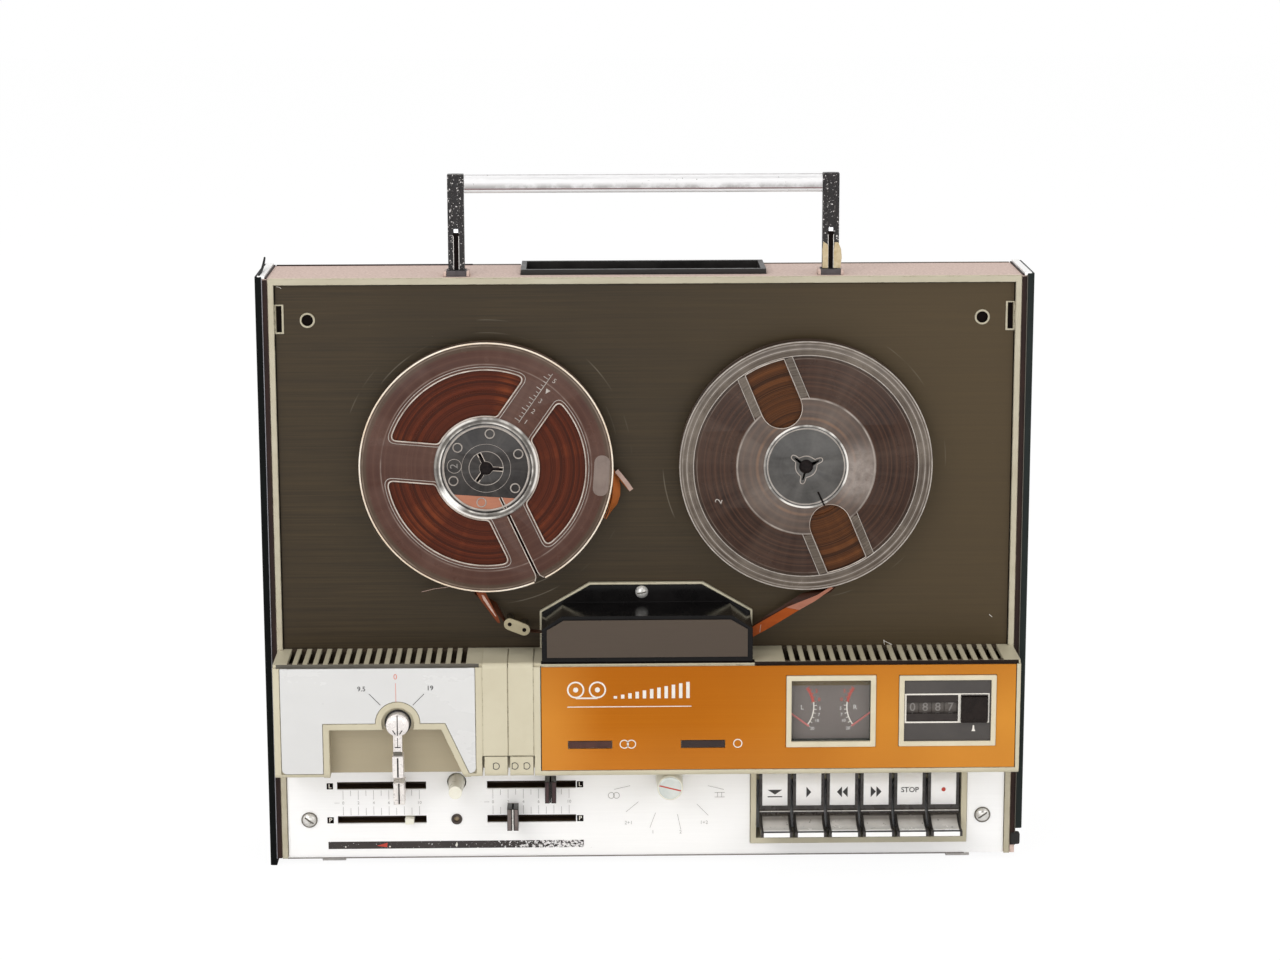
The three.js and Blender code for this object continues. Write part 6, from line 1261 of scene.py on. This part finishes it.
knobFace = turned("knobFace", x, z, [(0, -21.35), (5.6, -21.3), (6.5, -21.15), (6.8, -20.95), (0, -20.9)], 40)
dress(knobFace, pearl, "function_knob")
dress(stroke(x - 6.3, z + 1.55, x + 6.3, z - 1.65, 0.75, -21.4, 0.12, "knobLine"), redInk, "function_knob")

flaked = layered(finish("flakedPaint", "2b2423", "352d2b", 9, (0.4, 0.55), bump=0.2), flakedLayers)
dress(plate("lowerBand", [softRect(-189.7, -37.4, 9.3, 13.8, 0.15)], (face - 0.03, face + 0.08)), flaked)
dress(plate("bandWedge", [[(-160.8, 11.2), (-154.5, 13.0), (-154.8, 10.2)]], raised), redInk)
spots = [plate("bandSpot", [outline], raised) for outline in (
    [(-114.2, 11.0), (-113.2, 13.2), (-112.6, 11.6), (-113.2, 9.9)],
    circle(-179.5, 10.6, 0.45, 12), circle(-153.1, 10.6, 0.5, 12))]
dress(together("bandSpots", spots), paleInk)

plum = finish("plumCap", "3b2d2e", "4d3c3d", 4, (0.4, 0.55), bump=0.2, edge=0.3, shine=0.2)
faded = finish("fadedCap", "5b514e", "7a6f6b", 3, (0.4, 0.55), bump=0.2, edge=0.3, shine=0.3)
caps = {"front": -15.08, "groove": 0.42, "ridge": (1.0, 3.1)}
for body, x, low, high, grooveLook, ridgeLook in (
    ("fader_upper_left", -146.1, 41.9, 55.1, darkPit, leverMetal),
    ("fader_upper_right", -56.9, 41.9, 55.1, rubber, plum),
    ("fader_lower_right", -79.3, 25.2, 38.4, screwMetal, faded),
):
    front, deep = caps["front"], caps["front"] + 0.4
    groove = block("capGroove_" + body, about(x, caps["groove"]), (front - 0.1, deep), (low + 0.3, high - 0.3), 0.12)
    dress(groove, grooveLook, body)
    for side, _, letter in sides:
        ridgeX = sorted(x + side * off for off in caps["ridge"])
        ridge = block("capRidge_" + body + letter, ridgeX, (front - 0.25, deep), (low + 0.25, high - 0.25), 0.3, 3)
        dress(ridge, ridgeLook, body)

jackCentre = turned("jackCentre", -113, 27.5, [(0, 2.0), (1.2, 2.05), (1.68, 2.4), (1.68, 3.4), (0, 3.4)], 28)
dress(jackCentre, finish("jackInside", "8d7b60", "a79579", 2, (0.4, 0.55), bump=0.2))

print("stage: piano keys")
key = {"first": 76.6, "pitch": 20.14, "label": (-7.5, 7.5), "paddle": (-7.7, 7.7), "ridge": 9.1, "rim": 8.45,
    "bodies": ("key_pause", "key_play", "key_rewind", "key_forward", "key_stop", "key_record")}
paddleMetal = layered(finish("paddleMetal", "dad6d1", "ece8e4", (9, 9, 5), (0.16, 0.3), metal=0.2, bump=0.1, grain=2,
    depth=0.03, marks=("4a4542", 0.66, 2.4)), paddleLayers)
swoop = quad((1.07, 29.6), (-4.65, 22.9), (-18.6, 24.0), 16)


def alongSwoop(name, line, above, below, x, edge):
    # a sheet that follows the key's hollow, pushed out along X
    return plate(name, [[(y, z + above) for y, z in line] + [(y, z - below) for y, z in line[::-1]]], x, edge, upright=False)


ridge, label = key["ridge"], [(2.3, 56.2), (1.98, 34.0), (1.62, 34.2), (1.95, 56.2)]
masters = (
    ("keyLabel%d", plate("label", [label], key["label"], 0.12, upright=False), 0, labelWhite, "white_plastic"),
    ("keyPaddle%d", alongSwoop("paddle", swoop[2:16], 0.55, 0.3, key["paddle"], 0.18), 0, paddleMetal, "bright_metal"),
    ("keyRim%da", alongSwoop("rim", swoop[1:17], 0.8, 0.4, (-0.55, 0.55), 0.15), -key["rim"], black, "black_plastic"),
    ("keyRim%db", alongSwoop("rim", swoop[1:17], 0.8, 0.4, (-0.55, 0.55), 0.15), key["rim"], black, "black_plastic"),
    ("keyRidge%d", wire("ridge", [(-ridge, 0.95, 30.7), (ridge, 0.95, 30.7)], 0.32), 0, screwMetal, "steel"),
    ("keyLip%d", block("lip", key["paddle"], (-19.0, -18.5), (20.95, 23.7), 0.18), 0, white, "white_plastic"),
    ("keyLipLine%d", block("lipLine", (-ridge, ridge), (-18.95, -18.5), (23.85, 24.5), 0.15), 0, black, "black_plastic"),
)
for name, master, off, material, slot in masters:
    for k, body in enumerate(key["bodies"]):
        dress(copyOf(master, name % k, key["first"] + k * key["pitch"] + off), material, body)
    bpy.data.objects.remove(master)

# plain signs on the labels
for body, outlines, material in (
    ("key_pause", [[(72.3, 43.9), (80.9, 43.9), (76.6, 41.0)], softRect(72.3, 80.9, 39.3, 39.9, 0.1)], darkInk),
    ("key_play", [[(95.4, 45.6), (98.2, 42.3), (95.4, 39.0)]], darkInk),
    ("key_rewind", [[(x, 45.6), (x - 3, 42.3), (x, 39.0)] for x in (116.6, 120.0)], darkInk),
    ("key_forward", [[(x, 45.6), (x + 3, 42.3), (x, 39.0)] for x in (133.8, 137.2)], darkInk),
    ("key_record", [circle(177.3, 43.4, 1.25, 24)], redInk),
):
    signs = [plate("sign", [outline], (1.55, 1.72)) for outline in outlines]
    dress(together("keySign_" + body, signs), material, body)
dress(lettering("keyWordStop", "STOP", 157.16, 43.2, 3.2, 1.58, bold=0.04), darkInk, "key_stop")

print("stage: tape guide, deck marks and back")
guide = {"x": -79.8, "z": 151.3, "apart": 9.1, "turn": -22}
posts = ((guide["x"], guide["z"]), polar(guide["x"], guide["z"], guide["apart"], guide["turn"]))
# painted shade: a dark disc in each of the guide's holes
for k, (x, z) in enumerate(posts):
    hole = [(0, -16.5), (1.15, -16.5), (1.2, -16.35), (0, -16.35)]
    dress(turned("guideHole%d" % k, x, z, hole, 24), darkPit)
scratches = [stroke(*row, 2.84, 0.1) for row in (
    (140.4, 135.4, 140.9, 131.9, 0.3), (140.6, 134.9, 145.4, 132.3, 0.28), (140.9, 132.4, 142.6, 131.9, 0.3),
    (202.5, 150.4, 204.3, 148.9, 0.3), (-212.2, 347.4, -210.6, 347.2, 0.3), (-210.8, 347.3, -209.4, 346.3, 0.3))]
dress(together("deckScratches", scratches), paleInk)

sockets = {"x": (-169, -147, -125, -103), "z": 49, "pins": (90, 35, 145, -20, 200), "circle": 3.2}
for k, x in enumerate(sockets["x"]):
    spots = [polar(x, sockets["z"], sockets["circle"], a) for a in sockets["pins"]]
    pins = [plate("pin", [circle(*spot, 0.7, 12)], (119.2, 119.6)) for spot in spots]
    dress(together("socketPins%d" % k, pins), chrome)
for k, (x, z) in enumerate(((-188, 20), (188, 20), (-188, 304), (188, 304), (0, 18))):
    seat = [(2.6, 128.0), (4.6, 128.1), (5.2, 128.25), (2.6, 128.28)]
    dress(turned("rearScrewSeat%d" % k, x, z, seat, 32), darkPit)

print("stage: size and finish")
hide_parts("reel_left")
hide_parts("reel_right")

size = {"cad": [list(v) for v in cadBox], "scene": [list(v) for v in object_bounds()]}
